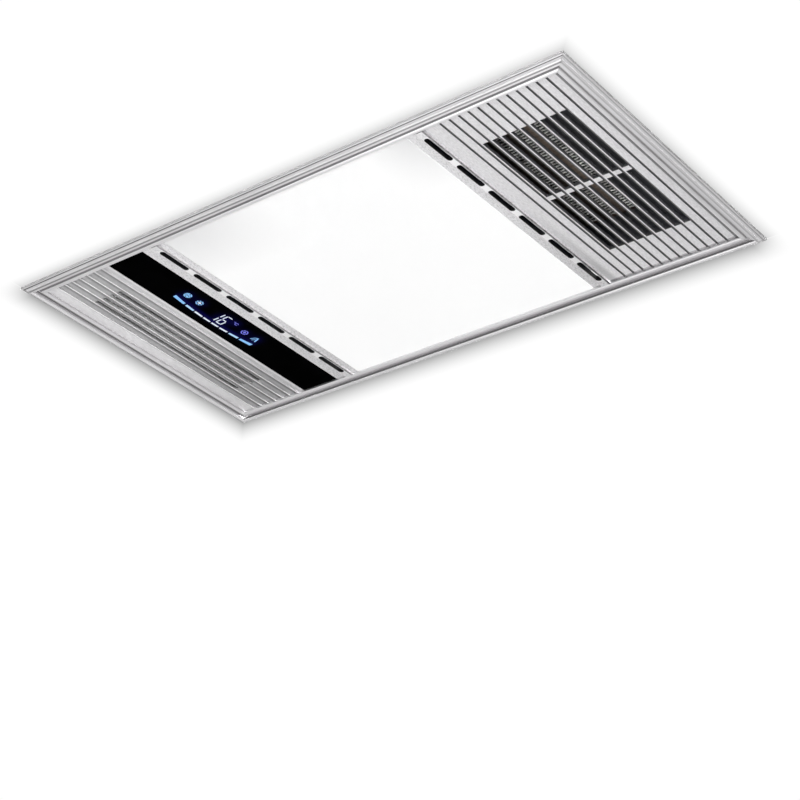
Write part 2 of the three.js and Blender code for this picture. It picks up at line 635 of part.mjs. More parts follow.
function addScroll(name, centre, facing, reach, flange) {
  const [cx, cy] = centre;
  const shell = extrudeZ(scrollPlan(centre, facing, reach, SCROLL_WALL), SCROLL_FLOOR, scrollTop);
  const airPlan = scrollPlan(centre, facing, reach + facing * 5, 0);
  const air = extrudeZ(airPlan, SCROLL_FLOOR - 1, scrollTop - SCROLL_WALL);
  const posts = [0, 90, 180].map((degrees) => {
    const r = scrollRadius(degrees) - 6;
    const x = cx + facing * r * Math.cos((degrees * Math.PI) / 180);
    const y = cy + r * Math.sin((degrees * Math.PI) / 180);
    return extrudeZ(circle(x, y, 6), scrollTop - half(SCROLL_WALL), innerTop, 5);
  });
  const shaftHole = extrudeZ(circle(cx, cy, motorRadius * 0.5), scrollTop - 5, scrollTop + 1, 12);
  const additions = flange ? [shell, ...posts, flange] : [shell, ...posts];
  piece(name + "_scroll", cut(join(...additions), air, shaftHole), galvanised);

  const coverTop = SCROLL_FLOOR - FIT_GAP;
  const coverBottom = coverTop - SCROLL_WALL;
  const coverReach = flange ? reach - facing * (SCROLL_WALL + FIT_GAP) : reach;
  const plate = extrudeZ(scrollPlan(centre, facing, coverReach, SCROLL_WALL), coverBottom, coverTop);
  const opening = extrudeZ(circle(cx, cy, inletRadius), coverBottom - 1, coverTop + 9, 12);
  const lip = impellerBottom - 0.8;
  const mouth = revolve(
    [
      [inletRadius, lip], [inletRadius + 0.6, coverTop - 0.2], [inletRadius + 4, coverBottom],
      [inletRadius + 6, coverBottom], [inletRadius + 6, coverTop], [inletRadius + 3, coverTop + 0.6],
      [inletRadius + 1.6, lip],
    ],
  ).translate(cx, cy, 0);
  piece(name + "_inlet_ring", join(cut(plate, opening), mouth), galvanised);
}

/** Forward-curved blades between a hub plate and a rim ring. */
function addImpeller(name, [cx, cy]) {
  const bore = SHAFT_RADIUS + 0.15;
  const hubBottom = impellerTop - 22;
  const plate = revolve([
    [bore, hubBottom], [9, hubBottom], [11, impellerTop - 8], [30, impellerTop - 2],
    [wheelRadius, impellerTop - 2], [wheelRadius, impellerTop], [bore, impellerTop],
  ], 24);
  const ringInner = wheelRadius - bladeDepth * 0.45;
  const ring = revolve([
    [ringInner, impellerBottom], [wheelRadius, impellerBottom],
    [wheelRadius, impellerBottom + 2.5], [ringInner, impellerBottom + 2.5],
  ], 24);
  const inner = wheelRadius - bladeDepth;
  const outer = wheelRadius - 0.5;
  const t = half(BLADE_THICKNESS);
  const s = new THREE.Shape();
  s.moveTo(inner, -t);
  s.quadraticCurveTo(inner + bladeDepth * 0.6, -t, outer, bladeDepth * 0.42);
  s.lineTo(outer - BLADE_THICKNESS, bladeDepth * 0.42 + BLADE_THICKNESS);
  s.quadraticCurveTo(inner + bladeDepth * 0.5, t + 0.4, inner, t);
  const blades = [];
  for (let i = 0; i < BLADE_COUNT; i++) {
    const blade = extrudeZ(s, impellerBottom + 1, impellerTop - 1, 2);
    blades.push(blade.rotateZ((i * 2 * Math.PI) / BLADE_COUNT));
  }
  piece(name + "_impeller", join(plate, ring, ...blades).translate(cx, cy, 0), blackPlastic);
  const shaft = extrudeZ(circle(cx, cy, SHAFT_RADIUS), hubBottom + 1, scrollTop + MOTOR_HEIGHT - 6, 6);
  piece(name + "_shaft", shaft, springSteel);
}

/** Motor can with its mounting flange, standing on the scroll's top plate. */
function addMotor(name, [cx, cy]) {
  const base = scrollTop;
  const top = base + MOTOR_HEIGHT;
  const bore = SHAFT_RADIUS + SHAFT_CLEARANCE;
  const can = revolve([
    [bore, base - 3], [11, base - 3], [11, base], [motorRadius + 9, base], [motorRadius + 9, base + 2],
    [motorRadius, base + 3], [motorRadius, top - 5],
    [motorRadius - 3, top - 2], [12, top - 2], [12, top], [bore, top],
  ], 24);
  piece(name + "_motor", can.translate(cx, cy, 0), galvanised);
}

function addBlower(name, centre, facing, reach, flange) {
  addScroll(name, centre, facing, reach, flange);
  addImpeller(name, centre);
  addMotor(name, centre);
}

// ---- Exhaust outlet: where it meets the scroll ----
const exhaustY = fanY + half(throatLow + throatHigh);
const collarBore = COLLAR_RADIUS - COLLAR_WALL;
const flangeX = -innerX; // the exhaust scroll's end flange bears on the housing's end wall

function exhaustFlange() {
  const r = COLLAR_RADIUS;
  const low = Math.max(COLLAR_HEIGHT - r, HOUSING_BOTTOM + HOUSING_SHEET + 1);
  const plan = roundedRect(exhaustY - r, exhaustY + r, low, COLLAR_HEIGHT + r, 5);
  return extrudeX(plan, flangeX, flangeX + SCROLL_WALL);
}

/** Round collar on the end wall, with a seat for the flap and bosses for its pin. */
function addDuctCollar() {
  const x0 = -housingX - COLLAR_LENGTH;
  const tube = revolve([
    [collarBore, -housingX], [collarBore, x0], [COLLAR_RADIUS - 1, x0], [COLLAR_RADIUS, x0 + 1],
    [COLLAR_RADIUS, x0 + 10], [COLLAR_RADIUS + 1.2, x0 + 11], [COLLAR_RADIUS + 1.2, x0 + 13],
    [COLLAR_RADIUS, x0 + 14], [COLLAR_RADIUS, -housingX - 3], [COLLAR_RADIUS + 7, -housingX - 2],
    [COLLAR_RADIUS + 7, -housingX],
  ]);
  const toX = new THREE.Matrix4().makeRotationY(half(Math.PI));
  const laid = tube.applyMatrix4(toX).translate(0, exhaustY, COLLAR_HEIGHT);
  const seatInner = collarBore - FLAP_CLEARANCE - 3;
  const seat = new THREE.Shape();
  seat.absarc(0, 0, COLLAR_RADIUS - half(COLLAR_WALL), 1.1 * Math.PI, 1.9 * Math.PI);
  seat.absarc(0, 0, seatInner, 1.9 * Math.PI, 1.1 * Math.PI, true);
  const seatX = flapX + half(FLAP_THICKNESS) + 0.3;
  const stop = extrudeX(seat, seatX, seatX + 2, 12).translate(0, exhaustY, COLLAR_HEIGHT);
  const pinPlan = circle(flapX, pinZ, FLAP_PIN_RADIUS + SHAFT_CLEARANCE);
  const past = COLLAR_RADIUS + 10;
  const pinHole = extrudeY(pinPlan, exhaustY - past, exhaustY + past, 6);
  piece("duct_collar", cut(join(laid, stop), pinHole), galvanised);
}

const flapX = -housingX - FLAP_SETBACK;
const pinZ = COLLAR_HEIGHT + FLAP_PIN_OFFSET;

/** Disc with a barrel round its pin, hung a little above its centre. */
function addDamper() {
  const r = collarBore - FLAP_CLEARANCE;
  const barrelOuter = FLAP_PIN_RADIUS + 2;
  const barrelReach = Math.sqrt(r * r - FLAP_PIN_OFFSET * FLAP_PIN_OFFSET) - 2.5;
  const t = half(FLAP_THICKNESS);
  const disc = extrudeX(circle(exhaustY, COLLAR_HEIGHT, r), flapX - t, flapX + t, 12);
  const y0 = exhaustY - barrelReach;
  const y1 = exhaustY + barrelReach;
  const barrel = extrudeY(circle(flapX, pinZ, barrelOuter), y0, y1, 6);
  const bore = extrudeY(circle(flapX, pinZ, FLAP_PIN_RADIUS + SHAFT_CLEARANCE), y0 - 20, y1 + 20, 6);
  piece("damper_flap", cut(join(disc, barrel), bore), blackPlastic);
  const pinReach = Math.sqrt(COLLAR_RADIUS * COLLAR_RADIUS - FLAP_PIN_OFFSET * FLAP_PIN_OFFSET) + 1;
  const pin = extrudeY(circle(flapX, pinZ, FLAP_PIN_RADIUS), exhaustY - pinReach, exhaustY + pinReach, 6);
  piece("damper_pin", pin, springSteel);
}

/** Pressed box, open below, with an inward hem, stiffening beads and the duct's hole. */
function addHousing() {
  const plan = (by) =>
    roundedRect(-housingX + by, housingX - by, -housingY + by, housingY - by, HOUSING_CORNER - by * 0.9);
  const body = extrudeZ(plan(0), HOUSING_BOTTOM, housingTop);
  const cavity = extrudeZ(plan(HOUSING_SHEET), HOUSING_BOTTOM + HOUSING_SHEET, innerTop);
  const mouthX = innerX - HEM_WIDTH;
  const mouthY = innerY - HEM_WIDTH;
  const mouthPlan = roundedRect(-mouthX, mouthX, -mouthY, mouthY, 4);
  const mouth = extrudeZ(mouthPlan, HOUSING_BOTTOM - 1, HOUSING_BOTTOM + 2);
  const ductHole = extrudeX(circle(exhaustY, COLLAR_HEIGHT, collarBore - 1), -housingX - 1, -innerX + 1, 12);
  const ribs = [];
  for (let k = 0; k < STIFFENER_COUNT; k++) {
    const x = -housingX + ((k + 0.5) / STIFFENER_COUNT) * 2 * housingX;
    const bead = new THREE.Shape();
    bead.moveTo(x - 7, housingTop - 0.4);
    bead.lineTo(x + 7, housingTop - 0.4);
    bead.quadraticCurveTo(x + 4, housingTop + STIFFENER_HEIGHT, x, housingTop + STIFFENER_HEIGHT);
    bead.quadraticCurveTo(x - 4, housingTop + STIFFENER_HEIGHT, x - 7, housingTop - 0.4);
    ribs.push(extrudeY(bead, 0, housingY * 0.82));
  }
  piece("housing_shell", cut(join(body, ...ribs), cavity, mouth, ductHole), galvanised);
}

// ---- Heater ----
/** Corrugated strip: one sheet folded to and fro between two bars. */
function finStrip(x0, x1) {
  const folds = 2 * Math.floor((2 * coreEnd - 1) / FIN_PITCH);
  const step = (2 * coreEnd - 1) / folds;
  const near = x0 + 0.15;
  const far = x1 - 0.15;
  const front = [];
  const back = [];
  for (let i = 0; i <= folds; i++) {
    const y = -coreEnd + 0.5 + i * step;
    const [a, b] = i % 2 ? [far - FIN_SHEET, far] : [near, near + FIN_SHEET];
    front.push([a, y]);
    back.unshift([b, y]);
  }
  return extrudeZ(outline([...front, ...back]), HEATER_FLOOR + 1, heaterTop - 1);
}

function addHeater() {
  const bars = [];
  let x = heaterStart;
  for (let k = 0; k < 4; k++) {
    const width = k === 0 || k === 3 ? OUTER_FIN_WIDTH : INNER_FIN_WIDTH;
    piece("fin_strip_" + (k + 1), finStrip(x, x + width), heaterSilver);
    x += width;
    if (k < 3) bars.push(x);
    x += BAR_WIDTH;
  }
  const barReach = coreEnd + HEATER_END_THICKNESS - 3;
  const barSection = (x0, by) =>
    roundedRect(x0 - by, x0 + BAR_WIDTH + by, HEATER_FLOOR + 0.5 - by, heaterTop - 0.5 + by, 1.2);
  bars.forEach((x0, k) => {
    piece("heater_bar_" + (k + 1), extrudeY(barSection(x0, 0), -barReach, barReach, 2), heaterBrown);
  });
  for (const [name, side] of [["near", -1], ["far", 1]]) {
    const y0 = side < 0 ? -half(HEATER_LENGTH) : coreEnd + 0.1;
    const y1 = y0 + HEATER_END_THICKNESS - 0.1;
    const blockPlan = roundedRect(heaterStart - 3, heaterEdge, HEATER_FLOOR, heaterTop + 3, 2);
    const block = extrudeY(blockPlan, y0, y1, 2);
    const mouth = side < 0 ? [y0 + 2, y1 + 1] : [y0 - 1, y1 - 2];
    const pockets = bars.map((x0) => extrudeY(barSection(x0, 0.2), ...mouth, 2));
    piece("heater_end_" + name, cut(block, ...pockets), blackPlastic);
  }
}

/** Deck that carries the heater, with the flared duct down to the outlet window. */
function addOutletDuct() {
  const deckBottom = HEATER_FLOOR - DUCT_SHEET;
  const deckX0 = hoodX0 - 10;
  const r = HOUSING_CORNER;
  const edge = new THREE.Shape();
  edge.moveTo(deckX0, -innerY);
  edge.lineTo(innerX - r, -innerY);
  edge.absarc(innerX - r, -innerY + r, r, -half(Math.PI), 0);
  edge.lineTo(innerX, innerY - r);
  edge.absarc(innerX - r, innerY - r, r, 0, half(Math.PI));
  edge.lineTo(deckX0, innerY);
  const deck = extrudeZ(edge, deckBottom, HEATER_FLOOR);
  const bottomZ = seatZ + 0.6;
  const topRect = (by) => [heaterStart + 1 - by, heaterEdge - 1 + by, -coreEnd - by, coreEnd + by];
  const reachY = half(WINDOW_LENGTH) + 2;
  const lowRect = (by) => [windowStart - 2 - by, windowEnd + 2 + by, -reachY - by, reachY + by];
  const topZ = HEATER_FLOOR - half(DUCT_SHEET);
  const shell = leaningBox(lowRect(DUCT_SHEET), topRect(DUCT_SHEET), bottomZ, topZ);
  const air = leaningBox(lowRect(0), topRect(0), bottomZ, topZ);
  const above = straightBox(...topRect(0), HEATER_FLOOR - DUCT_SHEET, HEATER_FLOOR + 1);
  const below = straightBox(...lowRect(0), bottomZ - 1, bottomZ + 0.01);
  piece("outlet_duct", cut(join(deck, shell), air, above, below), galvanised);
}

/** Hood over the heater: its roof curves down from the fan's throat to the far edge. */
function addHood() {
  const section = (by) => {
    const s = new THREE.Shape();
    s.moveTo(hoodX0 + by, HEATER_FLOOR - (by ? 1 : 0));
    s.lineTo(hoodX1 - by, HEATER_FLOOR - (by ? 1 : 0));
    s.lineTo(hoodX1 - by, HEATER_FLOOR + 24 - by);
    s.quadraticCurveTo(hoodX1 - by, hoodTop - by, half(hoodX0 + hoodX1) - by, hoodTop - by);
    s.lineTo(hoodX0 + by, hoodTop - by);
    return s;
  };
  const shell = extrudeY(section(0), -hoodY, hoodY, 8);
  const air = extrudeY(section(DUCT_SHEET), -hoodY + DUCT_SHEET, hoodY - DUCT_SHEET, 8);
  const y = fanY;
  const wallPast = hoodX0 + DUCT_SHEET + 1;
  const ceiling = scrollTop - SCROLL_WALL;
  const throat = straightBox(hoodX0 - 1, wallPast, y + throatLow, y + throatHigh, SCROLL_FLOOR, ceiling);
  piece("heater_hood", cut(shell, air, throat), galvanised);
  const cutout = revolve([[0, 0], [11, 0], [11, 1.2], [8, 1.4], [8, 7], [7, 8], [0, 8]], 18);
  piece("thermal_cutout", cutout.translate(hoodX0 + 20, hoodY * 0.6, hoodTop), brass);
}

// ---- Control box ----
function addControlBox() {
  const cx = BOX_OFFSET;
  const cy = -housingY + BOX_EDGE_GAP + half(BOX_WIDTH);
  const x0 = cx - half(BOX_LENGTH);
  const x1 = cx + half(BOX_LENGTH);
  const y0 = cy - half(BOX_WIDTH);
  const y1 = cy + half(BOX_WIDTH);
  const z0 = housingTop;
  const z1 = z0 + BOX_HEIGHT;
  const plan = (by) => roundedRect(x0 + by, x1 - by, y0 + by, y1 - by, 3 - by * 0.5);
  const glandZ = z0 + half(BOX_HEIGHT);
  const glandHole = extrudeX(circle(cy, glandZ, GLAND_RADIUS + 0.3), x0 - 1, x0 + BOX_WALL + 1, 8);
  const inside = extrudeZ(plan(BOX_WALL), z0 + BOX_WALL, z1 + 1, 2);
  piece("control_box_base", cut(extrudeZ(plan(0), z0, z1, 3), inside, glandHole), blackPlastic);
  const lipOuter = extrudeZ(plan(BOX_WALL + 0.3), z1 - 3, z1 + 0.5, 2);
  const lipInner = extrudeZ(plan(BOX_WALL + 1.8), z1 - 4, z1 + 1, 2);
  const lid = join(extrudeZ(plan(-1), z1, z1 + BOX_WALL, 3), cut(lipOuter, lipInner));
  piece("control_box_lid", lid, blackPlastic);
  const floor = z0 + BOX_WALL;
  const boardX0 = x0 + TERMINAL_INSET + TERMINAL_DEPTH + BOARD_GAP;
  const boardX1 = x1 - BOARD_INSET;
  const boardY0 = y0 + BOARD_INSET;
  const boardY1 = y1 - BOARD_INSET;
  const boardZ = floor + BOARD_LIFT;
  const board = straightBox(boardX0, boardX1, boardY0, boardY1, boardZ, boardZ + BOARD_THICKNESS);
  const legs = CORNERS.map(([, sx, sy]) => {
    const x = sx < 0 ? boardX0 + 4 : boardX1 - 4;
    const y = sy < 0 ? boardY0 + 4 : boardY1 - 4;
    return extrudeZ(circle(x, y, 2.5), floor, boardZ + 0.5, 4);
  });
  const [relayLength, relayWidth, relayHeight] = RELAY_SIZE;
  const relayX = boardX0 + RELAY_INSET;
  const relayY = half(relayWidth);
  const relayZ = boardZ + 0.5;
  const relayEnd = relayX + relayLength;
  const relay = straightBox(relayX, relayEnd, cy - relayY, cy + relayY, relayZ, relayZ + relayHeight);
  piece("control_board", join(board, ...legs, relay), circuitGreen);
  const block = [];
  const t0 = x0 + TERMINAL_INSET;
  const t1 = t0 + TERMINAL_DEPTH;
  const top = floor + TERMINAL_HEIGHT;
  const poleReach = half(TERMINAL_PITCH - 1);
  for (let k = 0; k < TERMINAL_POLES; k++) {
    const y = cy + (k - half(TERMINAL_POLES - 1)) * TERMINAL_PITCH;
    const s = outline([[t0, floor], [t1, floor], [t1, top - 5], [t1 - 5, top], [t0 + 5, top], [t0, top - 5]]);
    block.push(extrudeY(s, y - poleReach, y + poleReach));
  }
  const spine = half(TERMINAL_POLES * TERMINAL_PITCH - 2);
  block.push(straightBox(t0 + 2, t1 - 2, cy - spine, cy + spine, floor, top - 4));
  piece("terminal_block", join(...block), whitePlastic);
  const gland = revolve([
    [4, -BOX_WALL - 5], [GLAND_RADIUS + 3, -BOX_WALL - 5], [GLAND_RADIUS + 3, -BOX_WALL - 0.2],
    [GLAND_RADIUS, -BOX_WALL - 0.2], [GLAND_RADIUS, 0.2], [GLAND_RADIUS + 3, 0.2],
    [GLAND_RADIUS + 3, 5], [GLAND_RADIUS, 12], [5, 15], [4, 15],
  ], 14);
  gland.applyMatrix4(new THREE.Matrix4().makeRotationY(-half(Math.PI)));
  piece("cable_gland", gland.translate(x0, cy, glandZ), blackPlastic);
}

/** Angles on the housing's top, with a slot for the hanging rod's hook. */
function addHangers() {
  const t = HANGER_SHEET;
  const w = half(HANGER_WIDTH);
  for (const [name, sx, sy] of CORNERS) {
    const x = sx * (housingX - HANGER_INSET);
    const face = sy * (housingY - 2);
    const y = (d) => face - sy * d;
    const section = outline([
      [y(0), housingTop], [y(24), housingTop], [y(24), housingTop + t], [y(t + 2), housingTop + t],
      [y(t), housingTop + t + 2], [y(t), housingTop + HANGER_HEIGHT], [y(0), housingTop + HANGER_HEIGHT],
    ]);
    const [y0, y1] = [y(-1), y(t + 1)].sort((a, b) => a - b);
    const slot = extrudeY(stadium(x, housingTop + HANGER_HEIGHT * 0.6, 7, 14), y0, y1);
    const angle = cut(extrudeX(section, x - w, x + w), slot);
    piece("hanger_" + name, angle, galvanised);
  }
}

// ---- Assembly ----
addRim();
addCornerKeys();
addIntakeGrille();
addDisplay();
addVentStrip("vent_strip_left", leftStripStart, leftStripEnd, LEFT_VENT_OFFSET);
addLight();
addVentStrip("vent_strip_right", rightStripStart, rightStripEnd, RIGHT_VENT_OFFSET);
addOutletGrille();
addCrossRails();
addSpringClips();
addHousing();
addBlower("heating", heatingFan, 1, hoodX0 - FIT_GAP);
addBlower("exhaust", exhaustFan, -1, flangeX, exhaustFlange());
addDuctCollar();
addDamper();
addOutletDuct();
addHeater();
addHood();
addControlBox();
addHangers();

export default heater;
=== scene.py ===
"""Finishes the ceiling mounted fan heater: fine pieces, finishes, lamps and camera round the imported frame."""

import math

import bmesh
import bpy
import numpy as np
from mathutils import Matrix, Vector


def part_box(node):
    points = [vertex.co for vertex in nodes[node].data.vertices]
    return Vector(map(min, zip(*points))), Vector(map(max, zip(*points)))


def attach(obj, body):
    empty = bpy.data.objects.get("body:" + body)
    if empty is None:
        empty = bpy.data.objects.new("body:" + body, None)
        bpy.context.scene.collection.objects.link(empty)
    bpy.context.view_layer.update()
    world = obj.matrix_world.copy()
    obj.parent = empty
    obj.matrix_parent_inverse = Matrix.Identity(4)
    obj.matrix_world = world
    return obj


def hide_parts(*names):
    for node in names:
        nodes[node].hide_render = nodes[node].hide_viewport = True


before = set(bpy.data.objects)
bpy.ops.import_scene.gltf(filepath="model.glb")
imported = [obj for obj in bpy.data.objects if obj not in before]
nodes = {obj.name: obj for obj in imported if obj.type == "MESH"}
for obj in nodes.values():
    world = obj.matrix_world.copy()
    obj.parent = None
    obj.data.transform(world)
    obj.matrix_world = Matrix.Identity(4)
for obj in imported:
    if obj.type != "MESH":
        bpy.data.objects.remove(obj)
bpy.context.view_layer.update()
MM = 0.001
FULL_TURN = 2 * math.pi
FACE_X, FACE_Y = 0.300, 0.150  # half the length and half the width of the face
CORNERS = ("near_left", "near_right", "far_right", "far_left")


# ---- Camera and lamps ----
VIEW_ANGLES = (40.759, -29.142, 4.106)  # azimuth, elevation and roll in degrees, from the rim's corners
VIEW_POINT = (1.0062, -1.1263, -0.9769)
FOCAL_LENGTH, PHOTO_WIDTH = 2046.08, 800  # both in pixels of the photograph
SENSOR_WIDTH = 36
VIEW_LIMIT = 60
LAMPS = (  # name, place, what it faces, side in metres, watts
    ("key_lamp", (2.6, -2.4, -0.69), (0, 0, 0), 1.2, 230),
    ("fill_lamp", (-0.4, 0.3, -1.45), (0, 0, 0), 1.0, 5),
    ("top_lamp", (1.2, -1.6, 2.2), (0, 0, 0.1), 1.4, 36))


def aim_camera():
    """Places the camera: back points away from the object by azimuth and elevation, and the roll turns the
    level and the upright direction about it."""
    azimuth, elevation, roll = (math.radians(angle) for angle in VIEW_ANGLES)
    reach = math.cos(elevation)
    back = Vector((math.sin(azimuth) * reach, -math.cos(azimuth) * reach, math.sin(elevation)))
    level = Vector((0, 0, 1)).cross(back).normalized()
    upright = back.cross(level)
    right = math.cos(roll) * level + math.sin(roll) * upright
    top = math.cos(roll) * upright - math.sin(roll) * level
    lens = bpy.data.cameras.new("room_camera")
    lens.sensor_width = SENSOR_WIDTH
    lens.lens = SENSOR_WIDTH * FOCAL_LENGTH / PHOTO_WIDTH
    lens.clip_end = VIEW_LIMIT
    camera = bpy.data.objects.new("room_camera", lens)
    camera.matrix_world = Matrix.Translation(VIEW_POINT) @ Matrix((right, top, back)).transposed().to_4x4()
    bpy.context.scene.collection.objects.link(camera)
    bpy.context.scene.camera = camera


def soft_lamp(name, place, target, side, watts):
    """Square area lamp at place that faces target."""
    light = bpy.data.lights.new(name, "AREA")
    light.size, light.energy = side, watts
    lamp = bpy.data.objects.new(name, light)
    lamp.location = place
    lamp.rotation_mode = "QUATERNION"
    lamp.rotation_quaternion = (Vector(target) - Vector(place)).to_track_quat("-Z", "Y")
    bpy.context.scene.collection.objects.link(lamp)


# ---- Arithmetic on sockets, and one way to add any other node ----
class Value:
    """Wraps an output socket; Python arithmetic on it adds Math nodes."""

    def __init__(self, owner, socket):
        self.owner, self.socket = owner, socket

    def math(self, operation, *others):
        return self.owner.node("ShaderNodeMath", {"operation": operation}, dict(enumerate((self, *others))))

    def _after(self, operation, first):
        return self.owner.node("ShaderNodeMath", {"operation": operation}, {0: first, 1: self})

    def __add__(self, other):
        return self.math("ADD", other)

    def __mul__(self, other):
        return self.math("MULTIPLY", other)

    def __sub__(self, other):
        return self.math("SUBTRACT", other)

    def __truediv__(self, other):
        return self.math("DIVIDE", other)

    def __pow__(self, other):
        return self.math("POWER", other)

    def __neg__(self):
        return self.math("MULTIPLY", -1)

    def __abs__(self):
        return self.math("ABSOLUTE")

    def __rsub__(self, other):
        return self._after("SUBTRACT", other)

    def __rpow__(self, other):
        return self._after("POWER", other)

    __radd__ = __add__
    __rmul__ = __mul__

    def at_least(self, other):
        return self.math("MAXIMUM", other)

    def at_most(self, other):
        return self.math("MINIMUM", other)

    def clamped(self):
        """Held between 0 and 1."""
        return self.at_least(0.0).at_most(1.0)

    def rising(self, start, reach):
        """0 up to start, then evenly up to 1 over that reach."""
        return ((self - start) / reach).clamped()

    def span(self, low, high):
        """Brings 0 to low and 1 to high."""
        return self * (high - low) + low


class NodeTree:
    """Nodes of a material or of the world."""

    def __init__(self, tree):
        self.tree = tree

    def node(self, kind, settings=None, values=None, out=0):
        """Adds a node: its settings first, a ramp's stops among them, then its sockets' values or links."""
        made = self.tree.nodes.new(kind)
        for key, value in (settings or {}).items():
            if key == "stops":
                self._set_stops(made.color_ramp, value)
            else:
                setattr(made, key, value)
        for key, value in (values or {}).items():
            if isinstance(value, Value):
                self.tree.links.new(value.socket, made.inputs[key])
            else:
                made.inputs[key].default_value = value
        return Value(self, made.outputs[out]) if made.outputs else None

    @staticmethod
    def _set_stops(ramp, stops):
        while len(ramp.elements) < len(stops):
            ramp.elements.new(0.5)
        for element, (position, colour) in zip(ramp.elements, stops):
            element.position = position
            element.color = (*colour, 1)

    def white(self, kind, strength):
        """White emission or background of that strength."""
        return self.node(kind, None, {"Color": (1, 1, 1, 1), "Strength": strength})

    def either(self, factor, one, other):
        """Shader one where factor is 0, other where it is 1."""
        return self.node("ShaderNodeMixShader", None, {0: factor, 1: one, 2: other})

    def ray(self, *kinds):
        """1 for a ray of any of these kinds, as Light Path tells them apart."""
        return sum(self.node("ShaderNodeLightPath", out=f"Is {kind} Ray") for kind in kinds).at_most(1.0)


class Finish(NodeTree):
    """A material round one Principled shader, whose constants are set on its own sockets."""

    MIX_COLOURS, MIX_RESULT = (6, 7), 2  # places of a Mix node's colour sockets

    def __init__(self, name, **constants):
        self.material = bpy.data.materials.new(name)
        self.material.use_nodes = True
        super().__init__(self.material.node_tree)
        self.shader = self.tree.nodes["Principled BSDF"]
        self.plain = Value(self, self.shader.outputs[0])
        for key, value in constants.items():
            self.shader.inputs[key.replace("_", " ")].default_value = value
        self.place = self.node("ShaderNodeTexCoord", out="Object")
        axes = self.node("ShaderNodeSeparateXYZ", values={0: self.place}).socket.node.outputs
        self.x, self.y, self.z = (Value(self, axis) for axis in axes)

    def feed(self, socket, value):
        self.tree.links.new(value.socket, self.shader.inputs[socket])
        return self

    def surface(self, shader):
        """Puts this shader in the place of the Principled one."""
        self.tree.links.new(shader.socket, self.tree.nodes["Material Output"].inputs["Surface"])

    def noise(self, scale, detail=2.0, stretch=(1, 1, 1), rough=0.5, turn=(0, 0, 0)):
        """Fractal noise from 0 to 1; scale is in waves per metre, and stretch lowers it along an axis."""
        placed = {"Vector": self.place, "Rotation": turn, "Scale": stretch}
        where = self.node("ShaderNodeMapping", None, placed)
        values = {"Vector": where, "Scale": scale, "Detail": detail, "Roughness": rough}
        return self.node("ShaderNodeTexNoise", None, values)

    def ramp(self, value, *stops):
        """Colour by value, between stops of (position, colour)."""
        return self.node("ShaderNodeValToRGB", {"stops": stops}, {0: value})

    def mix(self, factor, one, other):
        """Colour one where factor is 0, other where it is 1."""
        colours = [colour if isinstance(colour, Value) else (*colour, 1) for colour in (one, other)]
        values = {0: factor, **dict(zip(self.MIX_COLOURS, colours))}
        return self.node("ShaderNodeMix", {"data_type": "RGBA"}, values, self.MIX_RESULT)

    def relief(self, height, depth):
        """Bump of a height from 0 to 1 over depth metres, into Normal."""
        values = {"Height": height, "Distance": depth, "Strength": 1.0}
        return self.feed("Normal", self.node("ShaderNodeBump", None, values, "Normal"))

    def dress(self, *pieces):
        """Gives the finish to new pieces, or to nodes of the frame by name."""
        for piece in pieces:
            target = nodes[piece] if isinstance(piece, str) else piece
            target.data.materials.clear()
            target.data.materials.append(self.material)
        return self


# ---- Surfaces worked out as arrays ----
def faceted(name, points, faces, body=None, slot=None):
    """Object from an array of points and a list of faces; it rides on body where one is named."""
    mesh = bpy.data.meshes.new(name)
    corners = np.asarray(points, float).reshape(-1, 3).tolist()
    mesh.from_pydata(corners, [], [tuple(map(int, face)) for face in faces])
    mesh.update()
    piece = bpy.data.objects.new(name, mesh)
    bpy.context.scene.collection.objects.link(piece)
    if body:
        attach(piece, body)
    return piece


def band_faces(rows, columns):
    """Quads between neighbours of a grid whose last column meets its first: each joins (i, j), (i, j + 1),
    (i + 1, j + 1) and (i + 1, j)."""
    i, j = np.meshgrid(np.arange(rows - 1), np.arange(columns), indexing="ij")
    below, after = (i + 1) * columns, (j + 1) % columns
    quads = np.stack([i * columns + j, i * columns + after, below + after, below + j], -1)
    return quads.reshape(-1, 4).tolist()


def two_levels(outline, low, high):
    """The outline, an n x 2 array of x and y, at z = low and again at z = high."""
    return np.concatenate([np.column_stack([outline, np.full(len(outline), z)]) for z in (low, high)])


def prism(outline, low, high):
    """Closed prism: the outline at two levels, with quads between and a cap at each end."""
    n = len(outline)
    faces = band_faces(2, n) + [list(range(n))[::-1], list(range(n, 2 * n))]
    return two_levels(outline, low, high), faces


def gathered(parts):
    """Joins several (points, faces) into one."""
    points, faces, start = [], [], 0
    for part_points, part_faces in parts:
        points.append(part_points)
        faces += [[k + start for k in face] for face in part_faces]
        start += len(part_points)
    return np.concatenate(points), faces


def turn_outward(piece):
    """Merges doubles and points the faces of a closed piece outwards."""
    work = bmesh.new()
    work.from_mesh(piece.data)
    bmesh.ops.remove_doubles(work, verts=work.verts, dist=1e-7)
    bmesh.ops.recalc_face_normals(work, faces=work.faces)
    work.to_mesh(piece.data)
    work.free()


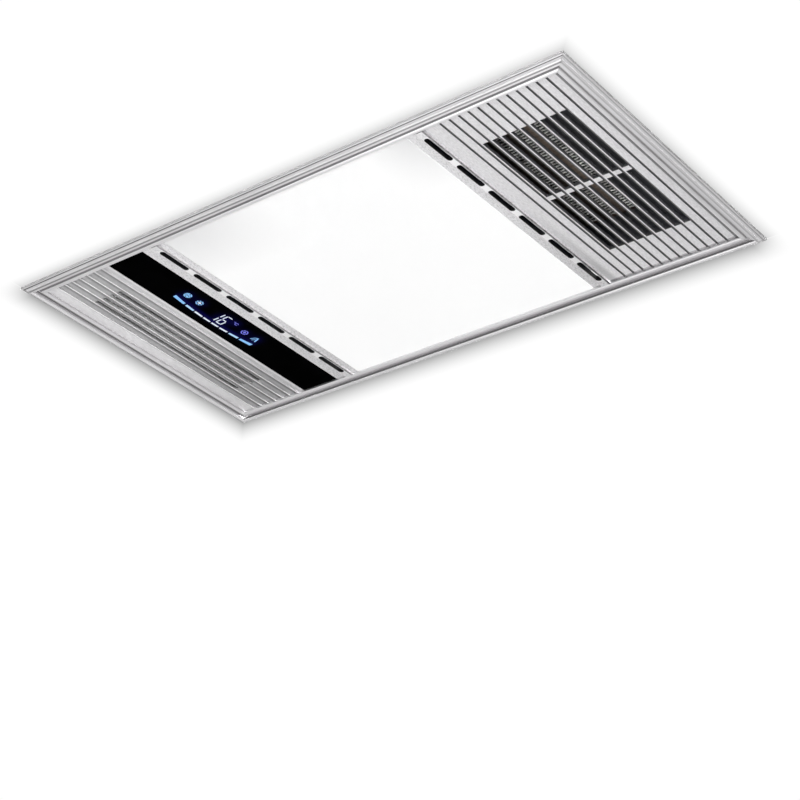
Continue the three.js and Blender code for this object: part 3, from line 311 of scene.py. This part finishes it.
# ---- The room ----
WORLD_LIGHT, WORLD_GLOSS = 0.32, 0.85  # strength as a light and in reflections
FLOOR_Z, FLOOR_GLOW = -1.6, 0.5
NEAR_GLOSS, FAR_GLOSS, GLOSS_REACH = 0.42, 0.72, 3.0  # the floor in reflections
ROOM = 7.0
CEILING_Z = 0.0003
OPENING = (0.2996, 0.1496)
PALE = {"Base_Color": (0.80, 0.80, 0.80, 1), "Roughness": 0.9}
LONG_SHADE, SHORT_SHADE = 0.036, 0.015  # how far the ceiling's contact shade reaches past the face's edges
LONG_FALL, SHORT_FALL = 1.7, 1.6  # powers by which it fades
EDGE_SHADE, FULL_SHADE, RISE = 0.32, 0.70, 0.002  # at the edge itself, and from that far out
END_SHADE, END_REACH, TOUCHING = 0.38, 0.016, 0.001  # towards the ends of the two long-shaded edges
CEILING_WHITE = 1.01


def rectangle(half_x, half_y, z):
    """Corners of a rectangle round the origin: (-x, -y), (x, -y), (x, y) and (-x, y) at height z."""
    return np.array([[-half_x, -half_y, z], [half_x, -half_y, z], [half_x, half_y, z], [-half_x, half_y, z]])


def light_world():
    """White where it is seen, less so in reflections, and dim as a light."""
    world = bpy.data.worlds.new("studio")
    bpy.context.scene.world = world
    world.use_nodes = True
    world.node_tree.nodes.clear()
    sky = NodeTree(world.node_tree)
    dim, mirrored, seen = (sky.white("ShaderNodeBackground", k) for k in (WORLD_LIGHT, WORLD_GLOSS, 1.0))
    unseen = sky.either(sky.ray("Glossy"), dim, mirrored)
    sky.node("ShaderNodeOutputWorld", None, {0: sky.either(sky.ray("Camera", "Transmission"), unseen, seen)})


def pale_floor():
    """Floor well below the object; in reflections it brightens with the distance from the middle."""
    floor = faceted("floor", rectangle(ROOM, ROOM, FLOOR_Z), [[0, 1, 2, 3]])
    pale = Finish("pale_floor", **PALE).dress(floor)
    glow = pale.white("ShaderNodeEmission", FLOOR_GLOW)
    lifted = pale.node("ShaderNodeAddShader", None, {0: pale.plain, 1: glow})
    distance = (pale.x * pale.x + pale.y * pale.y).math("SQRT")
    sheen = (distance / GLOSS_REACH).at_most(1.0).span(NEAR_GLOSS, FAR_GLOSS)
    seen = pale.either(pale.ray("Camera", "Transmission"), pale.plain, lifted)
    pale.surface(pale.either(pale.ray("Glossy"), seen, pale.white("ShaderNodeEmission", sheen)))
    return floor


def white_ceiling():
    """Ceiling with the opening that the rim covers. The camera sees it from below only, with a contact shade
    that reaches far past the left and far edges and less far past the other two."""
    points = np.concatenate([rectangle(ROOM, ROOM, CEILING_Z), rectangle(*OPENING, CEILING_Z)])
    quads = [[k, k + 4, (k + 1) % 4 + 4, (k + 1) % 4] for k in range(4)]
    ceiling = faceted("ceiling", points, quads)
    white = Finish("white_ceiling", **PALE).dress(ceiling)
    past = (-white.x - FACE_X).at_least(white.y - FACE_Y)
    long = past.rising(0, LONG_SHADE)
    short = (white.x - FACE_X).at_least(-white.y - FACE_Y).rising(0, SHORT_SHADE)
    depth = past.rising(0, RISE).span(EDGE_SHADE, FULL_SHADE)
    end = (FACE_X - white.x).at_most(white.y + FACE_Y).rising(0, END_REACH).span(END_SHADE, 1.0)
    touching = 1 - past.rising(0, TOUCHING)
    shade = depth * (1 - long) ** LONG_FALL * (1 - short) ** SHORT_FALL * end.at_least(touching)
    glow = white.white("ShaderNodeEmission", CEILING_WHITE - shade)
    seen = white.either(white.ray("Camera"), white.plain, glow)
    above = white.node("ShaderNodeNewGeometry", out="Backfacing") * white.ray("Camera", "Transmission")
    white.surface(white.either(above, seen, white.node("ShaderNodeBsdfTransparent")))
    return ceiling


aim_camera()
light_world()
floor, ceiling = pale_floor(), white_ceiling()
for lamp in LAMPS:
    soft_lamp(*lamp)
bpy.context.scene.view_settings.view_transform = "Standard"


# ---- Finishes of the face panel ----
LOWEST, HIGHEST = -0.01, 0.01  # past every height of the face, for a band that is open on one side
GROOVES = (-0.00108, HIGHEST)  # heights inside the grooves of the grilles
SILVER = {"Coat_Weight": 0.1, "Coat_Roughness": 0.3}
# Colours of painted shade: in the rim's lines, on the outlet grille, on the intake grille, and on the vent
# strips, where the moulded pits share it.
RIM_SHADE, OUTLET_SHADE = (0.07, 0.068, 0.07), (0.13, 0.13, 0.135)
INTAKE_SHADE, STRIP_SHADE_AND_PITS = (0.05, 0.05, 0.052), (0.03, 0.03, 0.032)
# Bands of painted shade on the outlet grille: where a last groove would be, beside the slotted strip, and along
# the rim's inner edge at the far side.
LAST_GROOVE_SHADE, FIRST_BAND = (0.2800, 0.2824), (0.1545, 0.1615)  # outlet grille, along x
REAR_SHADE_LINE = (0.1308, 0.14)  # outlet grille, along y
RIBS, MIDDLE_SLOTS = (-0.2712, -0.2135), (-0.2545, -0.2350)  # intake grille, along x
RIB_START, RIB_PITCH = -0.2614, 0.0096
SLOT_REACH, CREST_REACH, RIB_EDGE = 0.00285, 0.0029, (0.0032, 0.0048)  # vent strips, from the slots' middle
CREST_Z, RIB_EDGE_Z = -0.00325, -0.0027
# The rim's lines are painted shade.
RIM_LINES = {  # dark lines along each side: distance in from the outer edge, width, both in mm, and strength
    "near": ((0.0, 0.5, 0.5), (2.0, 1.0, 1.0), (5.6, 1.6, 0.66), (12.0, 1.0, 0.35)),
    "far": ((2.0, 5.0, 0.22), (8.3, 1.8, 0.93)),
    "left": ((2.2, 5.4, 0.5), (10.0, 1.0, 0.85), (13.1, 1.0, 0.7)),
    "right": ((0.0, 0.5, 0.7), (1.8, 1.2, 0.5), (5.8, 1.4, 0.35), (12.0, 1.2, 0.2)),
}


def within(value, low, high, soft=0.00004):
    """1 where value lies between low and high, with an edge soft metres wide."""
    rise = ((value - low) / soft + 0.5).clamped()
    fall = ((high - value) / soft + 0.5).clamped()
    return rise * fall


def brushed_aluminium(side):
    """Satin extrusion with hairlines along the bar, and painted shade in the lines of its moulding below the
    ceiling. The hairlines are noise 60 times longer along the bar than across."""
    f = Finish(f"satin_aluminium_{side}", Metallic=1.0)
    along_x = side in ("near", "far")
    hair = f.noise(2600, 3, (0.016, 1, 1) if along_x else (1, 0.016, 1), 0.65)
    drift = f.noise(9, 2)
    inward = FACE_Y - abs(f.y) if along_x else FACE_X - abs(f.x)
    # Painted shade along the lines of the moulding.
    shade = sum(within(inward, (place - width / 2) * MM, (place + width / 2) * MM, 0.0004) * strength
                for place, width, strength in RIM_LINES[side])
    below = (1 - f.z * 10000).clamped()
    bright = f.ramp(hair * 0.55 + drift * 0.45,
                    (0.25, (0.68, 0.67, 0.682)), (0.5, (0.79, 0.78, 0.792)), (0.75, (0.89, 0.88, 0.892)))
    f.feed("Base Color", f.mix(shade * below, bright, RIM_SHADE))
    f.feed("Roughness", hair.span(0.26, 0.46))
    return f.relief(hair, 0.00003)


def silver_flake(f, grain):
    """Base colour of the silver lacquer: fine flakes over a moulded grain."""
    flake = f.noise(5200, 1)
    f.feed("Roughness", flake.span(0.32, 0.5))
    return f.ramp(flake * 0.35 + grain * 0.65,
                  (0.3, (0.58, 0.571, 0.583)), (0.5, (0.68, 0.67, 0.684)), (0.7, (0.79, 0.78, 0.795)))


def outlet_silver():
    """Silver lacquer with painted shade in its grooves, one more painted shade line where the last groove would
    meet the rim, and another along the rim's inner edge at the far side. A soft painted shade lies beside the
    slotted strip and grows towards the far end."""
    f = Finish("silver_outlet", Metallic=0.8, **SILVER)
    grain = f.noise(900, 2, (1, 0.3, 1))
    # Painted shade: in the grooves, on a line where a last groove would be, along the rim's inner edge at the
    # far side, and beside the slotted strip towards the far end.
    last = within(f.x, *LAST_GROOVE_SHADE, 0.0004) * 0.85
    rear_shade = within(f.y, *REAR_SHADE_LINE, 0.0006) * 0.45
    strip_shade = within(f.x, *FIRST_BAND, 0.004) * f.y.rising(0, 0.11) * 0.4
    dark = (within(f.z, *GROOVES, 0.0002) + last + rear_shade + strip_shade).at_most(1.0)
    f.feed("Base Color", f.mix(dark, silver_flake(f, grain), OUTLET_SHADE))
    return f.relief(grain, 0.00002)


def intake_silver():
    """Silver lacquer with painted light and shade: a bright border, painted highlights on the rib crests,
    painted shade on the bands and channels between and just before each rib, painted light on the walls inside
    the slots, and painted shade that dims all of it towards the far end."""
    f = Finish("silver_intake", Metallic=0.8, **SILVER)
    grain = f.noise(900, 2, (1, 0.3, 1))
    # Painted light and shade: shade on the bands, in the channels, just before each rib and towards the far
    # end, a highlight on the crests and light on the slot walls.
    ribs = within(f.x, *RIBS, 0.0012)
    band_shade = ribs * within(f.z, -0.0016, HIGHEST, 0.0004) * 0.22
    channel_shade = within(f.z, *GROOVES, 0.0002) * 0.20
    far_shade = f.y.rising(-0.03, 0.14) * 0.16
    crest_highlight = ribs * within(f.z, LOWEST, -0.0015, 0.0003)
    phase = ((f.x - RIB_START) / RIB_PITCH).math("FRACT")
    before_rib_shade = ribs * (1 - crest_highlight) * phase.rising(0.55, 0.3) * 0.5
    inner = within(f.z, -0.0004, HIGHEST, 0.0002) * within(f.x, *MIDDLE_SLOTS).span(0.2, 1.0) * ribs
    lit = f.mix((crest_highlight + inner * 0.7 + 0.25).at_most(1.0), silver_flake(f, grain), (0.98, 0.975, 0.98))
    dark = ((band_shade + channel_shade + before_rib_shade) * (1 - inner) + far_shade).at_most(0.9)
    f.feed("Base Color", f.mix(dark, lit, INTAKE_SHADE))
    return f.relief(grain, 0.00002)


def slotted_silver(name, slot_x, line):
    """Silver lacquer with a coarse moulded grain of short slanting marks; the walls of the air slots carry near
    black painted shade. The rib has a painted highlight between its slots, with a painted shade line of that
    strength along its far edge, and painted shade dims the far end."""
    f = Finish(name, Metallic=0.75, **SILVER)
    grain = f.noise(850, 2, (1, 0.45, 1), 0.6, (0, 0, 0.6))
    # Painted shade on the slot walls, along the rib's far edge and towards the far end, and a painted highlight
    # on the rib between its slots; the pits are the moulded grain.
    wall = within(f.x, slot_x - SLOT_REACH, slot_x + SLOT_REACH) * within(f.z, CREST_Z, HIGHEST)
    pits = f.ramp(grain, (0.36, (1, 1, 1)), (0.5, (0, 0, 0)))
    crest_highlight = within(f.x, slot_x - CREST_REACH, slot_x + CREST_REACH, 0.0004) * within(f.z, LOWEST, CREST_Z)
    crest_highlight = crest_highlight * within(f.y, -0.125, 0.125, 0.002)
    edge = within(f.x, slot_x + RIB_EDGE[0], slot_x + RIB_EDGE[1], 0.0005)
    edge = edge * within(f.z, LOWEST, RIB_EDGE_Z, 0.0003) * line
    far_shade = f.y.rising(0, 0.10) * line * 0.25
    dark = (wall + pits * (1 - crest_highlight) * 0.21 + edge + far_shade).at_most(1.0)
    lit = f.mix(crest_highlight * 0.4 + 0.2, silver_flake(f, grain), (0.95, 0.945, 0.95))
    f.feed("Base Color", f.mix(dark, lit, STRIP_SHADE_AND_PITS))
    return f.relief(grain, 0.00022)


LEFT_SLOTS, RIGHT_SLOTS = 0.0157, 0.0133  # middle of the slots, from each strip's left edge
for side in RIM_LINES:
    brushed_aluminium(side).dress("rim_" + side)
outlet_silver().dress("outlet_grille")
intake_silver().dress("intake_grille")
left_slots_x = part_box("vent_strip_left")[0][0] + LEFT_SLOTS
right_slots_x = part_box("vent_strip_right")[0][0] + RIGHT_SLOTS
slotted_silver("silver_strip_left", left_slots_x, 0.55).dress("vent_strip_left")
slotted_silver("silver_strip_right", right_slots_x, 0.68).dress("vent_strip_right")


HALOS = (  # round each lit mark: centre x and y and radius, all in mm, and strength
    (-178.5, -56.6, 6.0, 0.030), (-178.5, -41.2, 6.0, 0.030), (-181.0, -8.0, 7.5, 0.055),
    (-175.0, 4.0, 5.0, 0.030), (-179.1, 20.3, 5.5, 0.025), (-179.0, 35.0, 6.0, 0.030))
BAR_MIDDLE, BAR_REACH = -11, 52  # along y, the middle of the level bar and the unit of its parabolas, in mm


def black_glass():
    """Black glass with a faint blue halo, e to the power of minus the squared distance, round each mark and
    along the level bar."""
    f = Finish("black_glass", Roughness=0.05, IOR=1.06, Specular_IOR_Level=0.01, Emission_Strength=1.0)
    dust = f.noise(40, 3)
    f.feed("Base Color", f.ramp(dust, (0.3, (0.0003, 0.0003, 0.0003)), (0.8, (0.0008, 0.0008, 0.001))))
    x, y = f.x * 1000, f.y * 1000
    t = (y - BAR_MIDDLE) / BAR_REACH
    off = (x - (t * t * 4.2 - 190.6)) / 3.2
    glow = math.e ** -(off * off) * within(f.y, -0.063, 0.041, 0.006) * 0.045
    for centre_x, centre_y, radius, strength in HALOS:
        dx, dy = (x - centre_x) / radius, (y - centre_y) / radius
        glow = glow + math.e ** -(dx * dx + dy * dy) * strength
    return f.feed("Emission Color", f.ramp(glow, (0.0, (0, 0, 0)), (1.0, (0.06, 0.05, 1.0))))


def lit_opal():
    """White light panel, a shade dimmer in its two near corners."""
    f = Finish("lit_opal", Base_Color=(0.25, 0.25, 0.25, 1), Roughness=0.35, Emission_Strength=0.58)
    left, right = (-f.x).rising(0.02, 0.085), f.x.rising(0.09, 0.042)
    corner = left.at_least(right) * (-f.y).rising(0.062, 0.065)
    return f.feed("Emission Color", f.ramp(corner, (0.0, (1, 1, 1)), (1.0, (0.68, 0.68, 0.69))))


black_glass().dress("display_window")
lit_opal().dress("light_diffuser")


# ---- Finishes of the inner pieces and the housing ----
def galvanised():
    """Zinc coated sheet: cells of slightly different grey, each with its own gloss."""
    f = Finish("galvanised_sheet", Metallic=1.0)
    spangle = f.node("ShaderNodeTexVoronoi", None, {"Vector": f.place, "Scale": 190}, "Color")
    shade = f.node("ShaderNodeSeparateColor", None, {0: spangle})
    fine = f.noise(700, 3)
    greys = (0.1, (0.44, 0.455, 0.47)), (0.5, (0.50, 0.515, 0.525)), (0.9, (0.57, 0.58, 0.585))
    f.feed("Base Color", f.ramp(shade * 0.7 + fine * 0.3, *greys))
    f.feed("Roughness", shade.span(0.56, 0.7))
    return f.relief(fine, 0.00004)


def grained_plastic(name, dark, light, rough=0.5, scale=1500):
    """Moulded plastic with a fine even grain and a slow drift of tone."""
    f = Finish(name)
    grain = f.noise(scale, 3)
    drift = f.noise(14, 2)
    f.feed("Base Color", f.ramp(grain * 0.5 + drift * 0.5, (0.3, dark), (0.7, light)))
    f.feed("Roughness", grain.span(rough - 0.08, rough + 0.08))
    return f.relief(grain, 0.00005)


def sheet_metal(name, dark, light, rough=0.4, stretch=(0.1, 1, 1)):
    """Plain sheet or strip metal with rolling marks."""
    f = Finish(name, Metallic=1.0)
    roll = f.noise(900, 3, stretch)
    f.feed("Base Color", f.ramp(roll, (0.3, dark), (0.7, light)))
    f.feed("Roughness", roll.span(rough - 0.08, rough + 0.1))
    return f.relief(roll, 0.00002)


def heater_foil(lower_edge):
    """Heater foil: painted light along its lower edge and painted shade from 1.9 mm above it, with the painted
    light brighter and dimmer in patches.
    """
    f = Finish("heater_fins", Roughness=0.45)
    # The foil's brightness is painted: lit along its lower edge, in shade above it, and brighter or dimmer in
    # patches.
    light_patches = f.ramp(f.noise(70, 3), (0.38, (0.45, 0.43, 0.42)), (0.54, (1.0, 0.98, 0.96)))
    f.feed("Base Color", f.mix(f.z.rising(lower_edge, 0.0019), light_patches, (0.015, 0.014, 0.014)))
    return f.relief(f.noise(1500, 3), 0.00005)


def at_corners(kind):
    """Names of the four nodes of a kind, one at each corner."""
    return [f"{kind}_{corner}" for corner in CORNERS]


galvanised().dress(
    "housing_shell", "heating_scroll", "heating_inlet_ring", "exhaust_scroll", "exhaust_inlet_ring",
    "heater_hood", *at_corners("hanger"))
sheet_metal("dark_duct", (0.13, 0.13, 0.145), (0.20, 0.20, 0.22), 0.45).dress("outlet_duct")
grained_plastic("white_tray", (0.80, 0.80, 0.79), (0.88, 0.88, 0.87), 0.4).dress("light_tray")
grained_plastic("black_moulding", (0.022, 0.022, 0.024), (0.045, 0.045, 0.048)).dress(
    "heating_impeller", "exhaust_impeller", "damper_flap", "display_cover", "cable_gland")
grained_plastic("white_moulding", (0.74, 0.74, 0.72), (0.82, 0.82, 0.80)).dress(
    "duct_collar", "terminal_block", "led_driver")
grey_moulding = grained_plastic("grey_moulding", (0.40, 0.41, 0.42), (0.48, 0.49, 0.50))
grey_moulding.dress("control_box_base")
grained_plastic("motor_enamel", (0.05, 0.055, 0.065), (0.09, 0.095, 0.105), 0.35, 500).dress(
    "heating_motor", "exhaust_motor")
sheet_metal("zinc_plate", (0.52, 0.53, 0.54), (0.66, 0.67, 0.68)).dress(
    "heating_shaft", "exhaust_shaft", "damper_pin", *at_corners("corner_key"))
sheet_metal("rail_aluminium", (0.66, 0.66, 0.66), (0.78, 0.78, 0.77)).dress(
    "cross_rail_left", "cross_rail_right")
sheet_metal("spring_strip", (0.36, 0.37, 0.39), (0.50, 0.51, 0.53), 0.3).dress(*at_corners("spring_clip"))
grained_plastic("green_board", (0.02, 0.14, 0.06), (0.03, 0.2, 0.09), 0.35).dress(
    "display_board", "control_board")
grained_plastic("white_board", (0.82, 0.82, 0.80), (0.9, 0.9, 0.88), 0.35).dress("led_board")
sheet_metal("heater_tube", (0.20, 0.15, 0.12), (0.34, 0.27, 0.22), 0.45).dress(
    "heater_bar_1", "heater_bar_2", "heater_bar_3")
grained_plastic("heater_end_moulding", (0.05, 0.035, 0.03), (0.1, 0.07, 0.055)).dress(
    "heater_end_near", "heater_end_far")
grained_plastic("cutout_moulding", (0.05, 0.02, 0.015), (0.09, 0.04, 0.03), 0.3).dress("thermal_cutout")
fin_finish = heater_foil(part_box("fin_strip_1")[0][2])
screw_zinc = sheet_metal("screw_zinc", (0.55, 0.55, 0.54), (0.72, 0.72, 0.70), 0.28, (1, 1, 1))
recess_shadow = grained_plastic("recess_shadow", (0.02, 0.02, 0.02), (0.05, 0.05, 0.05))


# ---- Symbols on the display, in millimetres ----
GLASS_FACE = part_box("display_window")[0][2]
PROUD, SUNK = 0.00005, 0.00002  # how far a symbol stands out of the glass and reaches into it, in metres
DEEP_BLUE, PALE_BLUE = (0.22, 0.24, 1.0), (0.27, 0.58, 1.0)
ICE, COLD_WHITE = (0.46, 0.72, 1.0), (0.80, 0.88, 1.0)


def anticlockwise(outline):
    """The outline with a positive area: half the sum of x[i] y[i + 1] - x[i + 1] y[i]."""
    following = np.roll(outline, -1, 0)
    area = np.sum(outline[:, 0] * following[:, 1] - following[:, 0] * outline[:, 1]) / 2
    return outline[::-1] if area < 0 else outline


def symbol(name, outlines, colour):
    """Lit shapes, each an n x 2 array, as prisms that stand out of the glass."""
    low, high = GLASS_FACE - PROUD, GLASS_FACE + SUNK
    parts = [prism(anticlockwise(outline) * MM, low, high) for outline in outlines]
    piece = faceted(name, *gathered(parts), "face_panel", "black_glass")
    f = Finish(name + "_light", Base_Color=(0, 0, 0, 1), Roughness=0.4, Specular_IOR_Level=0.1,
               Emission_Strength=1.0)
    dimmer = tuple(c * 0.8 for c in colour)
    f.feed("Emission Color", f.ramp(f.noise(900, 2), (0.2, dimmer), (0.7, colour))).dress(piece)


def bar(x0, y0, x1, y1, width):
    """Rectangle round the line between two points, drawn out to a tip of half its width at each end."""
    a, b = np.array([x0, y0], float), np.array([x1, y1], float)
    tip = (b - a) / np.linalg.norm(b - a) * width / 2
    side = np.array([-tip[1], tip[0]])
    return np.array([a - tip, a + side, b + side, b + tip, b - side, a - side])


def arc(centre, radius, angles):
    """Points centre + radius (cos t, sin t)."""
    return np.column_stack([centre[0] + radius * np.cos(angles), centre[1] + radius * np.sin(angles)])


def disc(centre, radius):
    return arc(centre, radius, np.linspace(0, FULL_TURN, 28, endpoint=False))


def sector(centre, outer, inner, start, end, count):
    """Part of a ring between two angles: an arc of count points out on the rim and the same back inside."""
    t = np.linspace(start, end, count)
    return np.concatenate([arc(centre, outer, t), arc(centre, inner, t)[::-1]])


def sectors(repeats, centre, outer, inner, start, end, count):
    """The same sector, turned by equal steps all round the centre."""
    turns = np.arange(repeats) * FULL_TURN / repeats
    return [sector(centre, outer, inner, start + turn, end + turn, count) for turn in turns]


def level_segment(y0, y1):
    """Piece of the level bar: its two edges are parabolas, x = base + rise t^2, and t is 0 in the middle."""
    y = np.linspace(y0, y1, 8)
    t = (y - BAR_MIDDLE) / BAR_REACH
    upper = np.column_stack([-192.3 + 5.2 * t * t, y])
    lower = np.column_stack([-194.3 + 3.3 * t * t, y])
    return np.concatenate([upper, lower[::-1]])


SEGMENTS = (  # of the level bar, along y
    (-63, -48), (-45.3, -34.6), (-32.7, -22.5), (-20.6, -11.7),
    (-9.8, -1), (1, 10.6), (13.1, 24.2), (26.5, 40.5))
LEVELS = (("ends", (0, 7), PALE_BLUE), ("sides", (1, 6), ICE), ("middle", (2, 3, 4, 5), COLD_WHITE))
for part, places, colour in LEVELS:
    symbol("level_bar_" + part, [level_segment(*SEGMENTS[k]) for k in places], colour)

# The digits 1 and 6: upright strokes in two halves, and the crossbars of the 6 with the gap at their end
STROKE, LEFT, RIGHT = 1.25, -8.8, -3.0
LOWER, UPPER = (-187.9, -181.9), (-179.0, -173.3)
UPRIGHTS = ((LOWER, -12.4), (UPPER, -12.6), (LOWER, LEFT), (UPPER, LEFT - 0.2), (LOWER, RIGHT))
CROSSBARS = ((-172.7, 0.6), (-180.5, 0.9), (-188.3, 0.9))
strokes = [bar(half[0], y, half[1], y, STROKE) for half, y in UPRIGHTS]
strokes += [bar(x, LEFT + 0.9, x, RIGHT - gap, STROKE) for x, gap in CROSSBARS]
symbol("digits", strokes, COLD_WHITE)

FAN, WARM, SWING = (-178.5, -56.6), (-178.5, -41.2), (-179.1, 20.3)
symbol("degree_mark", sectors(4, (-173.9, 2.0), 0.75, 0.4, 0, 1.5, 8)
       + [sector((-175.4, 5.2), 1.9, 1.35, math.pi * 0.65, math.pi * 2.4, 20)], DEEP_BLUE)
symbol("fan_mark", sectors(4, FAN, 4.0, 2.9, 0.1, 1.45, 12)
       + sectors(4, FAN, 2.6, 0.5, 0.5, 1.7, 8), PALE_BLUE)
symbol("warm_mark", [disc(WARM, 1.6)], COLD_WHITE)
symbol("warm_mark_rays", sectors(8, WARM, 3.9, 2.3, 0, 0.5, 5), PALE_BLUE)
symbol("swing_mark", sectors(6, SWING, 3.7, 2.6, 0, 0.85, 8)
       + [bar(-179.1, 18.8, -179.1, 21.8, 0.9), bar(-180.4, 20.3, -177.8, 20.3, 0.9)], DEEP_BLUE)
symbol("air_mark", [bar(-181.8, 31.4, -177.2, 33.4, 0.9), bar(-177.2, 33.4, -175.6, 36.2, 0.9),
                    bar(-182.3, 33.9, -179.2, 35.6, 0.9), bar(-182.4, 37.9, -176.9, 36.2, 1.5)], PALE_BLUE)


# ---- Heater fins ----
FOLD_PITCH, FOIL, FOIL_GAP = 7.2, 0.7, 0.15  # in mm; the gap lies between the foil and a bar
FOLD_STEPS, FOLD_SLOPE = 12, 2.6


def folded_foil(name, node):
    """Folded foil between two bars. Its middle line runs along y while x goes to and fro in a trapezium wave:
    x = clip(slope tri(y / pitch), -1, 1) half widths. The foil's thickness is laid off across the line's own
    normal."""
    lo, hi = (np.array(c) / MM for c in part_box(node))
    middle, reach = (lo[0] + hi[0]) / 2, (hi[0] - lo[0]) / 2 - FOIL_GAP - FOIL / 2
    y = np.arange(lo[1], hi[1], FOLD_PITCH / FOLD_STEPS)
    wave = np.clip(FOLD_SLOPE * (4 * np.abs((y / FOLD_PITCH) % 1 - 0.5) - 1), -1, 1)
    line = np.column_stack([middle + reach * wave, y])
    slope = np.gradient(line, axis=0)
    normal = np.column_stack([-slope[:, 1], slope[:, 0]]) / np.linalg.norm(slope, axis=1)[:, None]
    across = normal * FOIL / 2
    ring = np.concatenate([line + across, (line - across)[::-1]]) * MM
    n, k = len(ring), np.arange(len(line) - 1)
    lower_cap = np.stack([k, k + 1, n - 2 - k, n - 1 - k], -1)
    upper_cap = lower_cap[:, ::-1] + n
    faces = band_faces(2, n) + lower_cap.tolist() + upper_cap.tolist()
    piece = faceted(name, two_levels(ring, lo[2] * MM, hi[2] * MM), faces, "housing", "heater_silver")
    turn_outward(piece)
    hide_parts(node)
    fin_finish.dress(piece)


for k in range(1, 5):
    folded_foil(f"folded_fins_{k}", f"fin_strip_{k}")


# ---- Screws and rivets ----
UP, OUT = (0, 0, 1), (-1, 0, 0)
HEAD_SIDES, HEAD_RINGS = 16, 5
WELL_INSET, WELL_RADIUS, WELL_DEPTH, WELL_SIDES = 0.007, 0.0036, 0.0014, 24
RIVET_INSET, RIVET_SPREAD, HANGER_SHEET = 0.016, 0.007, 0.0024
COLLAR_SCREW_INSET, COLLAR_SCREW_SUNK = 0.0032, 0.00195
QUARTERS = np.radians((0, 90, 180, 270))


def domed_heads(name, places, axis, radius, height, recess=True):
    """Pan heads at places that face along axis, with a near-black cross of painted recess shade on top, or
    plain.
    The dome is a quarter of an ellipse above a short wall: r = R cos t, z = h (0.4 + 0.6 sin t)."""
    t = np.linspace(0, math.pi / 2, HEAD_RINGS)[:-1]
    radii = np.append(radius, radius * np.cos(t))[:, None, None]
    heights = np.append(0, height * (0.4 + 0.6 * np.sin(t)))[:, None, None]
    around = np.linspace(0, FULL_TURN, HEAD_SIDES, endpoint=False)
    circle = np.column_stack([np.cos(around), np.sin(around), np.zeros(HEAD_SIDES)])
    dome = (circle * radii + heights * np.array(UP)).reshape(-1, 3)
    tip, last = len(dome), len(dome) - HEAD_SIDES
    cap = [[last + k, last + (k + 1) % HEAD_SIDES, tip] for k in range(HEAD_SIDES)]
    head = np.concatenate([dome, [[0, 0, height]]])
    faces = band_faces(HEAD_RINGS, HEAD_SIDES) + cap + [list(range(HEAD_SIDES))[::-1]]
    a, b = radius * 0.55, radius * 0.14
    plus = np.array([[a, -b], [a, b], [b, b], [b, a], [-b, a], [-b, b],
                     [-a, b], [-a, -b], [-b, -b], [-b, -a], [b, -a], [b, -b]])
    cross, cross_faces = prism(plus, height * 0.7, height * 1.02)
    turn = np.array(Vector(axis).to_track_quat("Z", "Y").to_matrix()).T
    heads = gathered([(head @ turn + place, faces) for place in places])
    piece = faceted(name, *heads, "housing", "bright_steel")
    turn_outward(piece)
    screw_zinc.dress(piece)
    # The cross is a near-black prism that stands just out of the dome's top: painted shade of a cross recess.
    if recess:
        marks = gathered([(cross @ turn + place, cross_faces) for place in places])
        mark = faceted(name + "_recess", *marks, "housing", "black_plastic")
        turn_outward(mark)
        recess_shadow.dress(mark)


def lid_with_wells(wells, top):
    """Lid of the control box as it stands, with a round well, a prism of 24 sides, sunk at each place."""
    around = np.linspace(0, FULL_TURN, WELL_SIDES, endpoint=False)
    ring = np.column_stack([np.cos(around), np.sin(around)]) * WELL_RADIUS
    parts = [prism(ring + well, top - WELL_DEPTH, top + 0.002) for well in wells]
    cutters = faceted("well_cutters", *gathered(parts))
    piece = bpy.data.objects.new("screwed_lid", nodes["control_box_lid"].data.copy())
    bpy.context.scene.collection.objects.link(piece)
    turn_outward(piece)
    sink = piece.modifiers.new("sink", "BOOLEAN")
    sink.operation, sink.solver, sink.object = "DIFFERENCE", "EXACT", cutters
    sunk = bpy.data.meshes.new_from_object(piece.evaluated_get(bpy.context.evaluated_depsgraph_get()))
    piece.modifiers.clear()
    piece.data = sunk
    bpy.data.objects.remove(cutters)
    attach(piece, "housing")
    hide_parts("control_box_lid")
    grey_moulding.dress(piece)


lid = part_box("control_box_lid")
lid_top = lid[1][2]
wells = [(x, y) for x in (lid[0][0] + WELL_INSET, lid[1][0] - WELL_INSET)
         for y in (lid[0][1] + WELL_INSET, lid[1][1] - WELL_INSET)]
lid_with_wells(wells, lid_top)
domed_heads("lid_screws", [(x, y, lid_top - WELL_DEPTH - 0.0001) for x, y in wells], UP, 0.0028, 0.0013)

rivets = []
for corner in CORNERS:
    foot_start, foot_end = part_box("hanger_" + corner)
    foot_x = (foot_start[0] + foot_end[0]) / 2
    foot_y = foot_end[1] - RIVET_INSET if foot_start[1] > 0 else foot_start[1] + RIVET_INSET
    rivets += [(foot_x + side * RIVET_SPREAD, foot_y, foot_start[2] + HANGER_SHEET) for side in (-1, 1)]
domed_heads("hanger_rivets", rivets, UP, 0.0026, 0.0012, recess=False)

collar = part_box("duct_collar")
collar_x = collar[1][0] - COLLAR_SCREW_SUNK
collar_y, collar_z = ((collar[0][k] + collar[1][k]) / 2 for k in (1, 2))
ring = (collar[1][1] - collar[0][1]) / 2 - COLLAR_SCREW_INSET
domed_heads("collar_screws", [(collar_x, collar_y + ring * math.cos(a), collar_z + ring * math.sin(a))
                              for a in QUARTERS], OUT, 0.0022, 0.0012)
